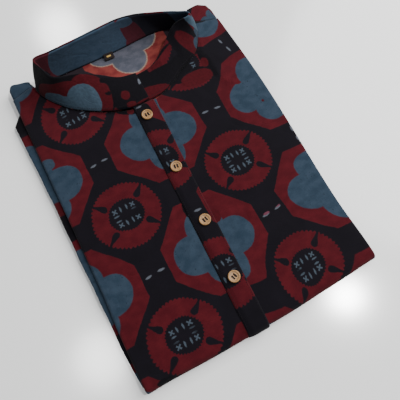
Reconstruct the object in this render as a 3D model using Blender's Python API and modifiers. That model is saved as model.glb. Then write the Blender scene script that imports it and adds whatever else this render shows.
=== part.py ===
"""Kurta tunic, folded for the shelf: front up, sides and sleeves folded behind, lower half folded under.

The print side of the front shows. A buttoned placket runs down the centre front, and the band
collar stands open at the neck. x runs across the garment, y from the bottom fold to the neck and
z up. The tables and sizes below are in millimetres, measured from the centre front line (x) and
the bottom fold (y), and ORIGIN moves them so that the part stands on the middle of its own box.
"""

import math

import bmesh
import bpy
from mathutils import Matrix, Vector

MM = 0.001

# The folded stack.
STACK = 15.0
BODY_WALL = 1.2
GAP = 0.35
FOLD_REACH = 7.0
FOLD_LIFT = 1.9
FOLD_SPREAD = 32.0
CREASE_RADIUS = 2.85
LIP = 7.0
SEAM_CLEAR = 0.6
HEM_Y = 324.0
LEFT_CREASE = 132.0
EDGE_THINNING = 0.12
THINNING_WIDTH = 45.0
UNDULATION = 0.02

# The right crease: how far it lies from the centre at each height on the front.
RIGHT_CREASE = (
    # y, x
    (0.0, 132.5),
    (120.0, 135.5),
    (243.0, 137.5),
    (292.0, 137.2),
    (352.0, 134.3),
)

# The front's top edge: shoulder seam, neckline, shoulder seam.
FRONT_TOP = (
    # x, y
    (-132.0, 350.7),
    (-119.0, 353.9),
    (-104.0, 355.5),
    (-99.5, 345.0),
    (-94.5, 330.8),
    (-85.8, 318.5),
    (-77.0, 308.0),
    (-63.0, 297.5),
    (-49.0, 288.8),
    (-35.0, 281.8),
    (-12.2, 274.8),
    (15.7, 275.2),
    (24.5, 278.2),
    (42.0, 284.9),
    (56.0, 294.3),
    (68.2, 300.6),
    (78.0, 305.2),
    (85.8, 311.5),
    (92.5, 320.2),
    (98.0, 331.0),
    (101.5, 349.0),
    (113.0, 348.6),
    (124.3, 345.5),
    (138.0, 344.0),
)

# The top of the back: the ridge where it turns over each shoulder, and the back neckline between.
BACK_RIDGE = (
    # x, y
    (-133.0, 359.5),
    (-130.0, 367.0),
    (-126.9, 371.0),
    (-117.4, 368.9),
    (-106.9, 366.0),
    (-103.0, 361.5),
    (103.0, 372.6),
    (113.0, 373.8),
    (120.7, 374.5),
    (124.5, 370.5),
    (129.0, 367.5),
    (133.0, 358.0),
)
BACK_NECK = (
    # x, y
    (-103.0, 355.0),
    (-84.0, 357.4),
    (-36.8, 358.2),
    (21.0, 361.0),
    (52.0, 362.6),
    (80.5, 357.6),
    (94.5, 350.8),
    (103.0, 345.5),
)
NECK_POINT = 103.5
RIDGE_RADIUS = 2.0
BACK_HALF = 126.5
BACK_START_Y = 13.0
BACK_STEPS = 5

# The collar band, from the end that laps over the placket, round the left of the neck, the back
# and the right, to the end that lies underneath. lift is the height above the cloth.
COLLAR = (
    # seam_x, seam_y, seam_lift, edge_x, edge_y, edge_lift
    (5.9, 276.6, 2.9, 6.1, 311.9, 5.2),
    (-12.2, 275.6, 2.9, -10.8, 313.0, 7.8),
    (-23.8, 278.6, 2.2, -19.5, 315.7, 10.2),
    (-35.0, 282.4, 1.0, -27.8, 319.7, 13.5),
    (-49.0, 289.4, 0.3, -38.5, 323.4, 18.0),
    (-63.0, 298.1, 0.0, -51.5, 327.6, 22.5),
    (-77.0, 308.6, 0.0, -63.5, 328.5, 27.0),
    (-85.8, 319.0, -0.3, -73.5, 328.3, 31.0),
    (-94.5, 331.0, -0.6, -81.5, 331.5, 33.5),
    (-100.0, 342.5, -0.7, -86.8, 343.5, 35.5),
    (-102.0, 350.8, -1.0, -90.2, 356.6, 36.0),
    (-97.0, 355.2, -2.0, -86.5, 359.8, 36.0),
    (-84.0, 356.2, -2.8, -74.1, 360.2, 35.5),
    (-63.0, 356.6, -2.8, -56.4, 360.8, 36.0),
    (-36.8, 356.9, -2.8, -35.5, 362.2, 36.0),
    (-9.4, 357.6, -2.8, -13.0, 364.2, 36.0),
    (21.0, 359.6, -2.8, 12.8, 365.6, 36.0),
    (42.0, 361.2, -2.8, 33.2, 363.8, 34.5),
    (63.0, 360.4, -2.8, 53.4, 358.8, 32.0),
    (80.5, 355.8, -2.8, 70.8, 354.0, 29.5),
    (92.5, 349.6, -2.0, 83.5, 348.0, 29.0),
    (99.5, 343.0, -1.2, 90.0, 342.6, 31.0),
    (101.0, 337.0, -0.6, 91.0, 337.4, 32.5),
    (97.5, 329.6, -0.5, 87.0, 335.0, 32.0),
    (91.7, 320.2, -0.4, 80.5, 336.6, 29.5),
    (85.8, 312.0, -0.3, 73.0, 338.0, 25.5),
    (78.0, 305.8, 0.0, 66.0, 336.4, 21.0),
    (68.2, 301.2, 0.0, 59.0, 331.5, 16.0),
    (56.0, 294.9, 0.0, 49.0, 324.4, 11.5),
    (42.0, 285.6, 0.0, 36.1, 315.7, 7.5),
    (24.5, 278.9, 0.0, 22.4, 311.4, 4.0),
    (5.9, 276.6, 0.0, 5.6, 311.6, 1.2),
    (-13.0, 276.0, 0.0, -11.5, 311.4, 0.2),
)
BAND_WALL = 1.0
BAND_BOW = 1.1
BAND_STEPS_ALONG = 3
BAND_STEPS_ACROSS = 4

# The placket. Its lines lean a little, because the front lies slightly askew on the fold.
SLIT_HALF = 1.2
PLACKET_WALL = 1.0
PLACKET_TOP_Y = 275.2
UNDER_END_Z = 4.0
UNDER_TAPER = 6.5
FOLD_STEPS = 8
PLACKET = (
    # y, left, right
    (0.0, -24.5, -0.7),
    (274.4, -15.0, 10.6),
)
UNDER_PLACKET = (
    # y, left, right
    (0.0, -16.5, -1.6),
    (215.0, -9.0, 7.8),
    (246.0, -7.9, 11.2),
    (274.4, -7.0, 14.4),
)
SLIT = (
    # y, x
    (0.0, -12.6),
    (276.0, -2.2),
)

# Buttons on the upper placket.
BUTTON_RADIUS = 6.6
BUTTON_FACE = 1.75
BUTTON_EDGE = 2.6
BUTTON_HOLE_RADIUS = 0.85
BUTTON_HOLE_SPREAD = 1.35
BUTTONS = (
    # x, y, turn in degrees
    (-3.9, 262.2, 3.0),
    (-5.3, 190.4, -8.0),
    (-6.4, 122.1, 12.0),
    (-8.8, 55.2, 20.0),
)

# Sleeves, folded behind: the outer edge of each, which peeps out at the left.
SLEEVE_LAYERS = 2.7
SLEEVE_WALL = 1.0
LEFT_SLEEVE_EDGE = (
    # y at the fold, y at the inner edge, x of the fold
    (7.5, 7.5, -133.8),
    (197.0, 200.0, -139.2),
    (300.0, 314.0, -142.3),
    (318.0, 344.0, -142.6),
)
RIGHT_SLEEVE_EDGE = (
    # y at the fold, y at the inner edge, x of the fold
    (7.5, 7.5, 130.0),
    (243.0, 246.0, 134.0),
    (300.0, 314.0, 134.0),
    (318.0, 344.0, 133.5),
)
SLEEVE_INNER = 122.5

# The cloth hidden inside, from the lowest layer up: where the edge of each one lies.
HIDDEN_LAYERS = (
    # top z, left, right, bottom y, top y
    (3.6, -119.0, 120.0, 37.0, 352.0),
    (5.7, -120.5, 118.5, 9.0, 359.0),
    (7.8, -118.0, 121.0, 8.0, 361.0),
    (9.8, -120.0, 119.0, 8.5, 355.0),
    (11.4, -119.0, 120.5, 10.0, 322.0),
)
HIDDEN_BASE = BODY_WALL + 2 * GAP
HIDDEN_CORNER = 6.0
HIDDEN_ROUND = 0.7

LABEL_HALF = 6.0
LABEL_X = -9.5
LABEL_WALL = 1.0

# The part stands on the middle of its box, between the left sleeve and the right crease, and
# between the upper placket on the bottom fold and the highest shoulder ridge.
PLACKET_PROUD = 2 * (GAP + PLACKET_WALL)
ORIGIN = Vector((-2.55, 186.2, 0.0))


def curve(table, at, column=1):
    """The smooth curve through a table's rows, read where its first column is `at`."""
    at = min(max(at, table[0][0]), table[-1][0])
    last = len(table) - 1
    row = max(k for k in range(last) if table[k][0] <= at)
    (x0, y0), (x1, y1) = ((table[k][0], table[k][column]) for k in (row, row + 1))
    span = x1 - x0

    def slope(k):
        before, after = table[max(k - 1, 0)], table[min(k + 1, last)]
        return (after[column] - before[column]) / (after[0] - before[0])

    t = (at - x0) / span
    ease = t * t * (3 - 2 * t)
    lean = t * (1 - t) * span
    return y0 + (y1 - y0) * ease + lean * ((1 - t) * slope(row) - t * slope(row + 1))


def spaced(start, end, count):
    return [start + (end - start) * k / count for k in range(count + 1)]


def settled(point):
    """The stack is thinner towards its edges, and its top undulates a little."""
    x, y, z = point
    side = max(0.0, (abs(x) - LEFT_CREASE + THINNING_WIDTH) / THINNING_WIDTH)
    foot = max(0.0, 1.0 - y / THINNING_WIDTH)
    thinning = EDGE_THINNING * min(1.0, side * side + foot * foot)
    wave = UNDULATION * math.sin(x / 21.0 + 0.6) * math.sin(y / 33.0)
    inside = min(z, STACK)
    return Vector((x, y, inside * (1.0 - thinning + wave) + z - inside))


def placed(point):
    return (settled(point) - ORIGIN) * MM


def material(name, colour, roughness):
    made = bpy.data.materials.new(name)
    made.use_nodes = True
    shader = made.node_tree.nodes["Principled BSDF"]
    shader.inputs["Base Color"].default_value = (*colour, 1.0)
    shader.inputs["Roughness"].default_value = roughness
    shader.inputs["Metallic"].default_value = 0.0
    return made


def collection(name):
    made = bpy.data.collections.new(name)
    bpy.context.scene.collection.children.link(made)
    return made


def sheet(name, rows, wall, finish, skip=lambda row, column: False):
    """A wall of cloth. rows[j][i] are points of its outer face, and its thickness goes inwards."""
    across = len(rows[0])
    corners = [placed(point) for row in rows for point in row]
    faces = [
        (j * across + i, (j + 1) * across + i, (j + 1) * across + i + 1, j * across + i + 1)
        for j in range(len(rows) - 1)
        for i in range(across - 1)
        if not skip(j, i)
    ]
    mesh = bpy.data.meshes.new(name)
    mesh.from_pydata(corners, [], faces)
    shape = bmesh.new()
    shape.from_mesh(mesh)
    loose = [vertex for vertex in shape.verts if not vertex.link_faces]
    bmesh.ops.delete(shape, geom=loose, context="VERTS")
    shape.to_mesh(mesh)
    shape.free()
    mesh.shade_smooth()
    mesh.materials.append(finish)
    made = bpy.data.objects.new(name, mesh)
    garment.objects.link(made)
    thickness = made.modifiers.new("wall", "SOLIDIFY")
    thickness.thickness = wall * MM
    thickness.offset = -1.0
    thickness.use_even_offset = True


def side_turn(side):
    """(side, reach, drop) round a crease and along the lip turned under, in crease radii."""
    arc = [math.pi * k / 6 for k in range(1, 7)]
    turn = [(side, math.sin(angle), 1 - math.cos(angle)) for angle in arc]
    return turn + [(side, -LIP / CREASE_RADIUS, 2.0)]


def fold_point(angle):
    """(y, z, outward y, outward z) on the bottom fold, from 0 on the top to pi underneath."""
    half = (STACK - FOLD_LIFT) / 2
    y = FOLD_REACH * (1 - math.sin(angle))
    z = FOLD_LIFT + half * (1 + math.cos(angle))
    normal = Vector((-math.sin(angle) / FOLD_REACH, math.cos(angle) / half)).normalized()
    return y, z, normal.x, normal.y


def under_z(y):
    """The underside comes down from the bottom fold to lie flat."""
    share = min(max((y - FOLD_REACH) / (FOLD_SPREAD - FOLD_REACH), 0.0), 1.0)
    return FOLD_LIFT * (1 - share) ** 2


def front_columns():
    """(kind, place, drop) for each column of the front, from the left lip to the right one."""
    flat_left, flat_right = -LEFT_CREASE + CREASE_RADIUS, RIGHT_CREASE[2][1] - CREASE_RADIUS
    left = spaced(flat_left, -104.0, 2) + spaced(-101.8, -77.0, 4) + spaced(-68.0, -20.0, 5)
    right = spaced(6.0, 68.2, 6) + spaced(76.0, 99.5, 4) + spaced(102.5, flat_right, 3)
    columns = list(reversed(side_turn("left")))
    columns += [("left flat", x / flat_left, 0.0) for x in left]
    columns += [("slit", -SLIT_HALF, 0.0), ("slit", SLIT_HALF, 0.0)]
    columns += [("right flat", x / flat_right, 0.0) for x in right]
    return columns + side_turn("right")


def front_x(column, y, radius):
    kind, place, _ = column
    left, right = -LEFT_CREASE + radius, curve(RIGHT_CREASE, y) - radius
    if kind == "slit":
        return curve(SLIT, y) + place
    if kind == "left":
        return left - place * radius
    if kind == "right":
        return right + place * radius
    return place * (left if kind == "left flat" else right)


def front_row(columns, radius, place):
    """One row of the front's outer face. place gives (y, z, outward y, outward z) at a column."""
    row = []
    for column in columns:
        y, z, normal_y, normal_z = place(column)
        drop = column[2] * radius
        row.append((front_x(column, y, radius), y - drop * normal_y, z - drop * normal_z))
    return row


def build_front():
    """The front: its print side up, round the bottom fold and along the underside to the hem."""
    columns = front_columns()
    tops = {c: curve(FRONT_TOP, front_x(c, HEM_Y, CREASE_RADIUS)) for c in columns}
    rows = []
    for share in spaced(1.0, 0.0, 15)[:-1]:
        rows.append(
            front_row(
                columns,
                CREASE_RADIUS,
                lambda c: (FOLD_REACH + (tops[c] - FOLD_REACH) * share, STACK, 0.0, 1.0),
            )
        )
    for angle in spaced(0.0, math.pi, FOLD_STEPS):
        radius = CREASE_RADIUS - FOLD_LIFT / 2 * angle / math.pi
        rows.append(front_row(columns, radius, lambda c: fold_point(angle)))
    slit_end = len(rows) - 1
    for y in spaced(FOLD_REACH, FOLD_SPREAD, 3)[1:] + spaced(FOLD_SPREAD, HEM_Y, 5)[1:]:
        radius = CREASE_RADIUS - under_z(y) / 2
        rows.append(front_row(columns, radius, lambda c: (y, under_z(y), 0.0, -1.0)))
    slit = [k for k, column in enumerate(columns) if column[0] == "slit"][0]
    sheet(
        "front_panel", rows, BODY_WALL, print_cloth, lambda j, i: i == slit and j < slit_end
    )


def placket_rows(edges, lift_at, across, fold_steps, under=()):
    """A strip laid on the front from the neckline down, and some steps round the bottom fold."""
    places = [(y, STACK, 0.0, 1.0) for y in spaced(PLACKET_TOP_Y, FOLD_REACH, 12)[:-1]]
    places += [fold_point(math.pi * k / FOLD_STEPS) for k in range(fold_steps + 1)]
    places += [(y, under_z(y), 0.0, -1.0) for y in under]
    rows = []
    for y, z, normal_y, normal_z in places:
        xs = spaced(curve(edges, y, 1), curve(edges, y, 2), across)
        lifts = [lift_at(x, y, z) for x in xs]
        rows.append([(x, y + h * normal_y, z + h * normal_z) for x, h in zip(xs, lifts)])
    return rows


def build_plackets():
    """The under placket lies on the front, and the upper one laps over both."""
    layer = GAP + PLACKET_WALL

    def upper_lift(x, y, z):
        """Over the under placket, down to the front beside it, and below where it ends."""
        beside = min(max((x - curve(UNDER_PLACKET, y, 1) + 6.0) / 4.5, 0.0), 1.0)
        above = min(max((z - UNDER_END_Z) / UNDER_TAPER, 0.0), 1.0)
        return layer + layer * beside * above

    under = placket_rows(UNDER_PLACKET, lambda x, y, z: layer, 3, 3)
    sheet("placket_under", under, PLACKET_WALL, print_cloth)
    upper = placket_rows(PLACKET, upper_lift, 9, FOLD_STEPS, (9.0, 10.5))
    sheet("placket_upper", upper, PLACKET_WALL, print_cloth)


def back_lower_z(x, y):
    """The print side of the back, which faces down. It dips under the shoulder ridges."""
    high = STACK - 2 * BODY_WALL - 2 * GAP
    low = STACK - 2 * RIDGE_RADIUS
    if abs(x) < NECK_POINT:
        return high
    share = min(max((y - 330.0) / 20.0, 0.0), 1.0)
    return high + (low - high) * share * share * (3 - 2 * share)


def back_column(x):
    """Up one column of the back from its low end, then over the ridge to the shoulder seam."""
    on_shoulder = abs(x) >= NECK_POINT
    top = curve(BACK_RIDGE, x) - RIDGE_RADIUS if on_shoulder else curve(BACK_NECK, x)
    inside = max(-BACK_HALF, min(BACK_HALF, x))
    ys = spaced(BACK_START_Y, 318.0, 5) + spaced(318.0, top, BACK_STEPS)[1:]
    points = [(inside, y, back_lower_z(x, y)) for y in ys]
    if on_shoulder:
        for angle in spaced(math.pi, 0.0, 6)[1:]:
            drop = RIDGE_RADIUS * (1 - math.cos(angle))
            points.append((x, top + RIDGE_RADIUS * math.sin(angle), STACK - drop))
        seam = min(curve(FRONT_TOP, x) + SEAM_CLEAR, top - 0.5)
        points += [(x, y, STACK) for y in spaced(top, seam, 3)[1:]]
    return points


def build_back():
    """The back: its wrong side up under the front, and over the shoulders to the seams."""
    left = [-131.0, -125.0, -118.5, -112.0, -106.0]
    right = [-x for x in reversed(left)]
    columns = [back_column(x) for x in left + spaced(-101.0, 101.0, 12) + right]
    tall, short = max(len(c) for c in columns), min(len(c) for c in columns)
    rows = [[c[min(j, len(c) - 1)] for c in columns] for j in range(tall)]
    on_neck = [len(c) == short for c in columns]

    def beyond_neckline(j, i):
        return j >= short - 1 and (on_neck[i] or on_neck[i + 1])

    sheet("back_panel", rows, BODY_WALL, print_cloth, beyond_neckline)


def measured(rows):
    """The rows with one more column in front: the distance along the seam."""
    along, last, made = 0.0, Vector(rows[0][:2]), []
    for row in rows:
        along += (Vector(row[:2]) - last).length
        last = Vector(row[:2])
        made.append((along, *row))
    return made


def build_collar():
    """The collar band: an outer and an inner layer, a little apart, from lap end to lap end."""
    table = measured(COLLAR)
    half = BAND_WALL + GAP / 2
    rest = STACK + GAP + half
    stops = [
        table[k][0] + (table[k + 1][0] - table[k][0]) * step / BAND_STEPS_ALONG
        for k in range(len(table) - 1)
        for step in range(BAND_STEPS_ALONG)
    ] + [table[-1][0]]

    middle = []
    for at in stops:
        seam_x, seam_y, seam_z, edge_x, edge_y, edge_z = (
            curve(table, at, column) for column in range(1, 7)
        )
        seam = Vector((seam_x, seam_y, rest + seam_z))
        edge = Vector((edge_x, edge_y, rest + edge_z))
        middle.append([edge.lerp(seam, share) for share in spaced(0.0, 1.0, BAND_STEPS_ACROSS)])

    def outward(j, i):
        before, after = middle[max(j - 1, 0)][i], middle[min(j + 1, len(middle) - 1)][i]
        along = after - before
        across = middle[j][min(i + 1, BAND_STEPS_ACROSS)] - middle[j][max(i - 1, 0)]
        return along.cross(across).normalized()

    def layer(shift):
        rows = []
        for j, points in enumerate(middle):
            row = []
            for i, point in enumerate(points):
                bow = BAND_BOW * math.sin(math.pi * i / BAND_STEPS_ACROSS)
                row.append(point + outward(j, i) * (shift + bow))
            rows.append(row)
        return rows

    sheet("collar_band_outer", layer(half), BAND_WALL, print_cloth)
    sheet("collar_band_inner", layer(-GAP / 2), BAND_WALL, print_cloth)


def build_sleeve(name, edge, side):
    """The folded edge of a sleeve turned down behind the body: two layers joined at the fold."""
    base = (STACK - SLEEVE_LAYERS) / 2
    radius = SLEEVE_LAYERS / 2
    rows = []
    for y in spaced(edge[0][0], edge[2][0], 9) + spaced(edge[2][0], edge[3][0], 2)[1:]:
        inner_y, fold = curve(edge, y, 1), curve(edge, y, 2)
        row = [(side * SLEEVE_INNER, inner_y, base + SLEEVE_LAYERS)]
        for angle in spaced(0.0, math.pi, 6):
            x = fold - side * radius * (1 - math.sin(angle))
            share = (x - fold) / (side * SLEEVE_INNER - fold)
            row.append((x, y + (inner_y - y) * share, base + radius * (1 + math.cos(angle))))
        rows.append(row + [(side * SLEEVE_INNER, inner_y, base)])
    if side > 0:
        rows.reverse()
    sheet(name, rows, SLEEVE_WALL, print_cloth)


def rounded_outline(left, right, bottom, top):
    """A rectangle with rounded corners, anticlockwise."""
    centres = ((right, top, -1, -1), (left, top, 1, -1), (left, bottom, 1, 1), (right, bottom, -1, 1))
    points = []
    for corner, (x, y, inward_x, inward_y) in enumerate(centres):
        for angle in spaced(corner * math.pi / 2, (corner + 1) * math.pi / 2, 4):
            points.append(
                (
                    x + HIDDEN_CORNER * (inward_x + math.cos(angle)),
                    y + HIDDEN_CORNER * (inward_y + math.sin(angle)),
                )
            )
    return points


def build_hidden_layers():
    """The cloth inside the fold, as one solid whose edge shows its layers."""
    rings = []
    low = HIDDEN_BASE
    for high, left, right, bottom, top in HIDDEN_LAYERS:
        for z, inset in ((low, HIDDEN_ROUND), ((low + high) / 2, 0.0), (high, HIDDEN_ROUND)):
            outline = rounded_outline(left + inset, right - inset, bottom + inset, top - inset)
            rings.append([(x, y, z) for x, y in outline])
        low = high
    count = len(rings[0])
    corners = [placed(point) for ring in rings for point in ring]
    faces = []
    for ring in range(len(rings) - 1):
        for k in range(count):
            low, next_low = ring * count + k, ring * count + (k + 1) % count
            faces.append((low, next_low, next_low + count, low + count))
    faces.append(tuple(reversed(range(count))))
    faces.append(tuple(range(len(corners) - count, len(corners))))
    mesh = bpy.data.meshes.new("folded_layers")
    mesh.from_pydata(corners, [], faces)
    mesh.shade_smooth()
    mesh.set_sharp_from_angle(angle=math.radians(50))
    mesh.materials.append(print_cloth)
    garment.objects.link(bpy.data.objects.new("folded_layers", mesh))


def button_mesh():
    """A turned wooden button with a raised rim, drilled with four holes."""
    profile = (
        # radius, height: down the outside from the middle of the face
        (0.0, BUTTON_FACE),
        (BUTTON_RADIUS - 2.4, BUTTON_FACE),
        (BUTTON_RADIUS - 1.7, BUTTON_EDGE - 0.2),
        (BUTTON_RADIUS - 1.2, BUTTON_EDGE),
        (BUTTON_RADIUS - 0.6, BUTTON_EDGE - 0.1),
        (BUTTON_RADIUS, BUTTON_EDGE - 0.8),
        (BUTTON_RADIUS, 0.8),
        (BUTTON_RADIUS - 0.9, 0.0),
        (0.0, 0.0),
    )
    mesh = bpy.data.meshes.new("button")
    mesh.from_pydata(
        [(r * MM, 0.0, z * MM) for r, z in profile], [(k, k + 1) for k in range(len(profile) - 1)], []
    )
    blank = bpy.data.objects.new("button_blank", mesh)
    garment.objects.link(blank)
    turned = blank.modifiers.new("turned", "SCREW")
    turned.steps = turned.render_steps = 24
    turned.use_merge_vertices = True
    turned.merge_threshold = 0.00005

    drill_mesh = bpy.data.meshes.new("button_drill")
    drill = bpy.data.objects.new("button_drill", drill_mesh)
    cutters.objects.link(drill)
    shape = bmesh.new()
    for side_x in (-1, 1):
        for side_y in (-1, 1):
            at = Vector((side_x, side_y, 0.0)) * BUTTON_HOLE_SPREAD * MM
            bmesh.ops.create_cone(
                shape,
                cap_ends=True,
                segments=10,
                radius1=BUTTON_HOLE_RADIUS * MM,
                radius2=BUTTON_HOLE_RADIUS * MM,
                depth=4 * BUTTON_EDGE * MM,
                matrix=Matrix.Translation(at),
            )
    shape.to_mesh(drill_mesh)
    shape.free()
    drill.hide_render = True
    drill.display_type = "WIRE"
    drilled = blank.modifiers.new("holes", "BOOLEAN")
    drilled.object = drill
    drilled.solver = "EXACT"

    evaluated = blank.evaluated_get(bpy.context.evaluated_depsgraph_get())
    made = bpy.data.meshes.new_from_object(evaluated)
    made.name = "button"
    made.shade_smooth()
    made.set_sharp_from_angle(angle=math.radians(40))
    made.materials.clear()
    made.materials.append(wood)
    bpy.data.objects.remove(blank)
    return made


def build_buttons():
    mesh = button_mesh()
    lift = PLACKET_PROUD + GAP
    for number, (x, y, turn) in enumerate(BUTTONS, start=1):
        made = bpy.data.objects.new(f"button_{number}", mesh)
        made.location = placed((x, y, STACK + lift))
        made.rotation_euler = (0.0, 0.0, math.radians(turn))
        garment.objects.link(made)


def build_label():
    """The size label, sewn into the back neck seam and leaning forward off the band."""
    foot_z = STACK - BODY_WALL + GAP + LABEL_WALL
    rows = [
        [(x, y, z) for x in spaced(LABEL_X - LABEL_HALF, LABEL_X + LABEL_HALF, 4)]
        for y, z in ((356.0, foot_z + 2.6), (354.0, foot_z + 1.2), (351.6, foot_z + 0.4), (349.4, foot_z))
    ]
    sheet("size_label", rows, LABEL_WALL, label_cloth)


for leftover in list(bpy.data.objects):
    bpy.data.objects.remove(leftover)

garment = collection("kurta_tunic")
cutters = collection("cutters")
print_cloth = material("printed cotton", (0.035, 0.010, 0.014), 0.85)
wood = material("coconut wood", (0.55, 0.36, 0.17), 0.5)
label_cloth = material("woven label", (0.02, 0.015, 0.014), 0.7)

build_front()
build_back()
build_sleeve("sleeve_right", LEFT_SLEEVE_EDGE, -1)
build_sleeve("sleeve_left", RIGHT_SLEEVE_EDGE, 1)
build_hidden_layers()
build_plackets()
build_collar()
build_buttons()
build_label()
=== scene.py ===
"""Kurta tunic, folded for the shelf: its cloth, block print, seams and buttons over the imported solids.

Sizes are in millimetres from the centre front line (x) and the bottom fold (y), with z up from the
table, as the solids are. `world` turns such a point into the frame's metres.
"""

import math

import bpy
import numpy as np
from mathutils import Matrix, Vector

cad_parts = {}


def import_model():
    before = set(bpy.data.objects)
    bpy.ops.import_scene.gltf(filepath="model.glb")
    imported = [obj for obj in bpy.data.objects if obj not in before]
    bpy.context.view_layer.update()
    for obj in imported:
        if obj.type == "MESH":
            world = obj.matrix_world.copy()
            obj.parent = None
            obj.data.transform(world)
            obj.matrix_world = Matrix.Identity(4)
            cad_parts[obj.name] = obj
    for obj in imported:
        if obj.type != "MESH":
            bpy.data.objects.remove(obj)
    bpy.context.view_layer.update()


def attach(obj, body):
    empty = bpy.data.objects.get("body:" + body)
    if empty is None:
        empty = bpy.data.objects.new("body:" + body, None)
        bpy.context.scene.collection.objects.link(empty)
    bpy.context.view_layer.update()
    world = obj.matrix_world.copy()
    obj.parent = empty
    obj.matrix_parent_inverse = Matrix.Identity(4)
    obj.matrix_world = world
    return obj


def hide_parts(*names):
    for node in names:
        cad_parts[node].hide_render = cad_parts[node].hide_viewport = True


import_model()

MM = 0.001
ORIGIN = Vector((-2.55, 186.2, 0.0))

# The folded stack.
STACK = 15.0
CLOTH = 0.6
THIN_CLOTH = 0.5
FOLD_REACH = 7.0
FOLD_LIFT = 1.9
FOLD_SPREAD = 32.0
CREASE_RADIUS = 2.85
LIP = 7.0
HEM_Y = 324.0
LEFT_COLUMNS, RIGHT_COLUMNS = 52, 56
FRONT_ROWS = 132
FOLD_ROWS = 16
LEFT_CREASE = ((0.0, 134.3), (60.0, 134.1), (104.0, 132.4), (355.0, 132.0))
EDGE_THINNING = 0.12
THINNING_START = 87.0
THINNING_WIDTH = 45.0
UNDULATION = 0.02
RIGHT_CREASE = (
    # y, x
    (0.0, 132.9),
    (30.0, 132.7),
    (65.0, 131.5),
    (90.0, 131.8),
    (115.0, 132.9),
    (161.0, 135.1),
    (190.0, 136.5),
    (243.0, 137.8),
    (292.0, 137.2),
    (352.0, 135.4),
)
FOOT_LINE = (
    # x, y of the bottom fold, which isn't quite square; it fades out up the front
    (-134.0, -2.1),
    (-115.0, -1.5),
    (-95.0, -1.9),
    (-60.0, -2.7),
    (20.0, -2.4),
    (40.0, -1.7),
    (60.0, -0.8),
    (80.0, 0.0),
    (100.0, 0.9),
    (120.0, 2.2),
    (134.0, 2.5),
)
FOOT_REACH = 40.0

FRONT_TOP = (
    # x, y: shoulder seam, neckline, shoulder seam
    (-132.0, 350.7),
    (-119.0, 353.9),
    (-104.0, 355.5),
    (-99.5, 345.0),
    (-94.5, 330.8),
    (-85.8, 318.5),
    (-77.0, 308.0),
    (-63.0, 297.5),
    (-49.0, 288.8),
    (-35.0, 281.8),
    (-12.2, 274.8),
    (15.7, 275.2),
    (24.5, 278.5),
    (42.0, 285.8),
    (56.0, 295.6),
    (68.2, 302.0),
    (78.0, 306.2),
    (85.8, 311.5),
    (92.5, 320.2),
    (98.0, 331.0),
    (101.5, 349.0),
    (113.0, 348.6),
    (124.3, 345.5),
    (138.0, 344.0),
)
BACK_RIDGE = (
    # x, y: where the back turns over each shoulder
    (-133.0, 359.5),
    (-130.0, 367.0),
    (-126.9, 371.0),
    (-117.4, 368.9),
    (-106.9, 366.0),
    (-103.0, 361.5),
    (103.0, 372.6),
    (113.0, 373.8),
    (121.4, 374.5),
    (126.4, 371.4),
    (131.4, 368.2),
    (134.0, 357.0),
)
BACK_NECK = (
    # x, y
    (-103.0, 355.0),
    (-84.0, 357.4),
    (-36.8, 358.2),
    (21.0, 361.0),
    (52.0, 362.6),
    (80.5, 357.6),
    (94.5, 350.8),
    (103.0, 345.5),
)
NECK_POINT = 103.5
SHOULDER_Y = 340.0
RIDGE_RADIUS = 2.0
BACK_HALF = 126.5
SHOULDER_HALF = 131.0
LEFT_SHOULDER_END = 133.4
BACK_START_Y = 13.0

COLLAR = (
    # seam_x, seam_y, seam_lift, edge_x, edge_y, edge_lift
    (5.9, 276.6, 2.9, 6.1, 311.9, 5.2),
    (-12.2, 275.6, 2.9, -10.8, 313.0, 7.8),
    (-23.8, 278.6, 2.2, -19.5, 315.7, 10.2),
    (-35.0, 282.4, 1.0, -27.8, 319.7, 13.5),
    (-49.0, 289.4, 0.3, -38.5, 323.4, 18.0),
    (-63.0, 298.1, 0.0, -51.5, 327.6, 22.5),
    (-77.0, 308.6, 0.0, -63.5, 328.5, 27.0),
    (-85.8, 319.0, -0.3, -73.5, 328.3, 31.0),
    (-94.5, 331.0, -0.6, -81.5, 331.5, 33.5),
    (-100.0, 342.5, -0.7, -86.8, 343.5, 35.5),
    (-102.0, 350.8, -1.0, -90.2, 356.6, 36.0),
    (-97.0, 355.2, -2.0, -86.5, 359.8, 36.0),
    (-84.0, 356.2, -2.8, -74.1, 360.2, 35.5),
    (-63.0, 356.6, -2.8, -56.4, 360.8, 36.0),
    (-36.8, 356.9, -2.8, -35.5, 362.2, 36.0),
    (-9.4, 357.6, -2.8, -13.0, 364.2, 36.0),
    (21.0, 359.6, -2.8, 12.8, 365.6, 36.0),
    (42.0, 361.2, -2.8, 33.2, 363.8, 34.5),
    (63.0, 360.4, -2.8, 53.4, 358.8, 32.0),
    (80.5, 355.8, -2.8, 70.8, 354.0, 29.5),
    (92.5, 349.6, -2.0, 83.5, 348.0, 29.0),
    (99.5, 343.0, -1.2, 90.0, 342.6, 31.0),
    (101.0, 337.0, -0.6, 91.0, 337.4, 32.5),
    (97.5, 329.6, -0.5, 87.0, 335.0, 32.0),
    (91.7, 320.2, -0.4, 80.5, 336.6, 29.5),
    (85.8, 312.0, -0.3, 73.0, 338.0, 25.5),
    (78.0, 305.8, 0.0, 66.0, 336.4, 21.0),
    (68.2, 301.2, 0.0, 59.0, 331.5, 16.0),
    (56.0, 294.9, 0.0, 49.0, 324.4, 11.5),
    (42.0, 285.6, 0.0, 36.1, 315.7, 7.5),
    (24.5, 278.9, 0.0, 22.4, 311.4, 4.0),
    (5.9, 276.6, 0.0, 5.6, 311.6, 1.2),
    (-13.0, 276.0, 0.0, -11.5, 311.4, 0.2),
)
BAND_HALF = 1.175
BAND_BOW = 1.1
BAND_REST = STACK + 0.35 + BAND_HALF
BAND_END_ANGLES = (25.0, 50.0, 75.0, 90.0)
BAND_TURN_START = -0.9
BAND_CURVE = 489.0
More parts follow.
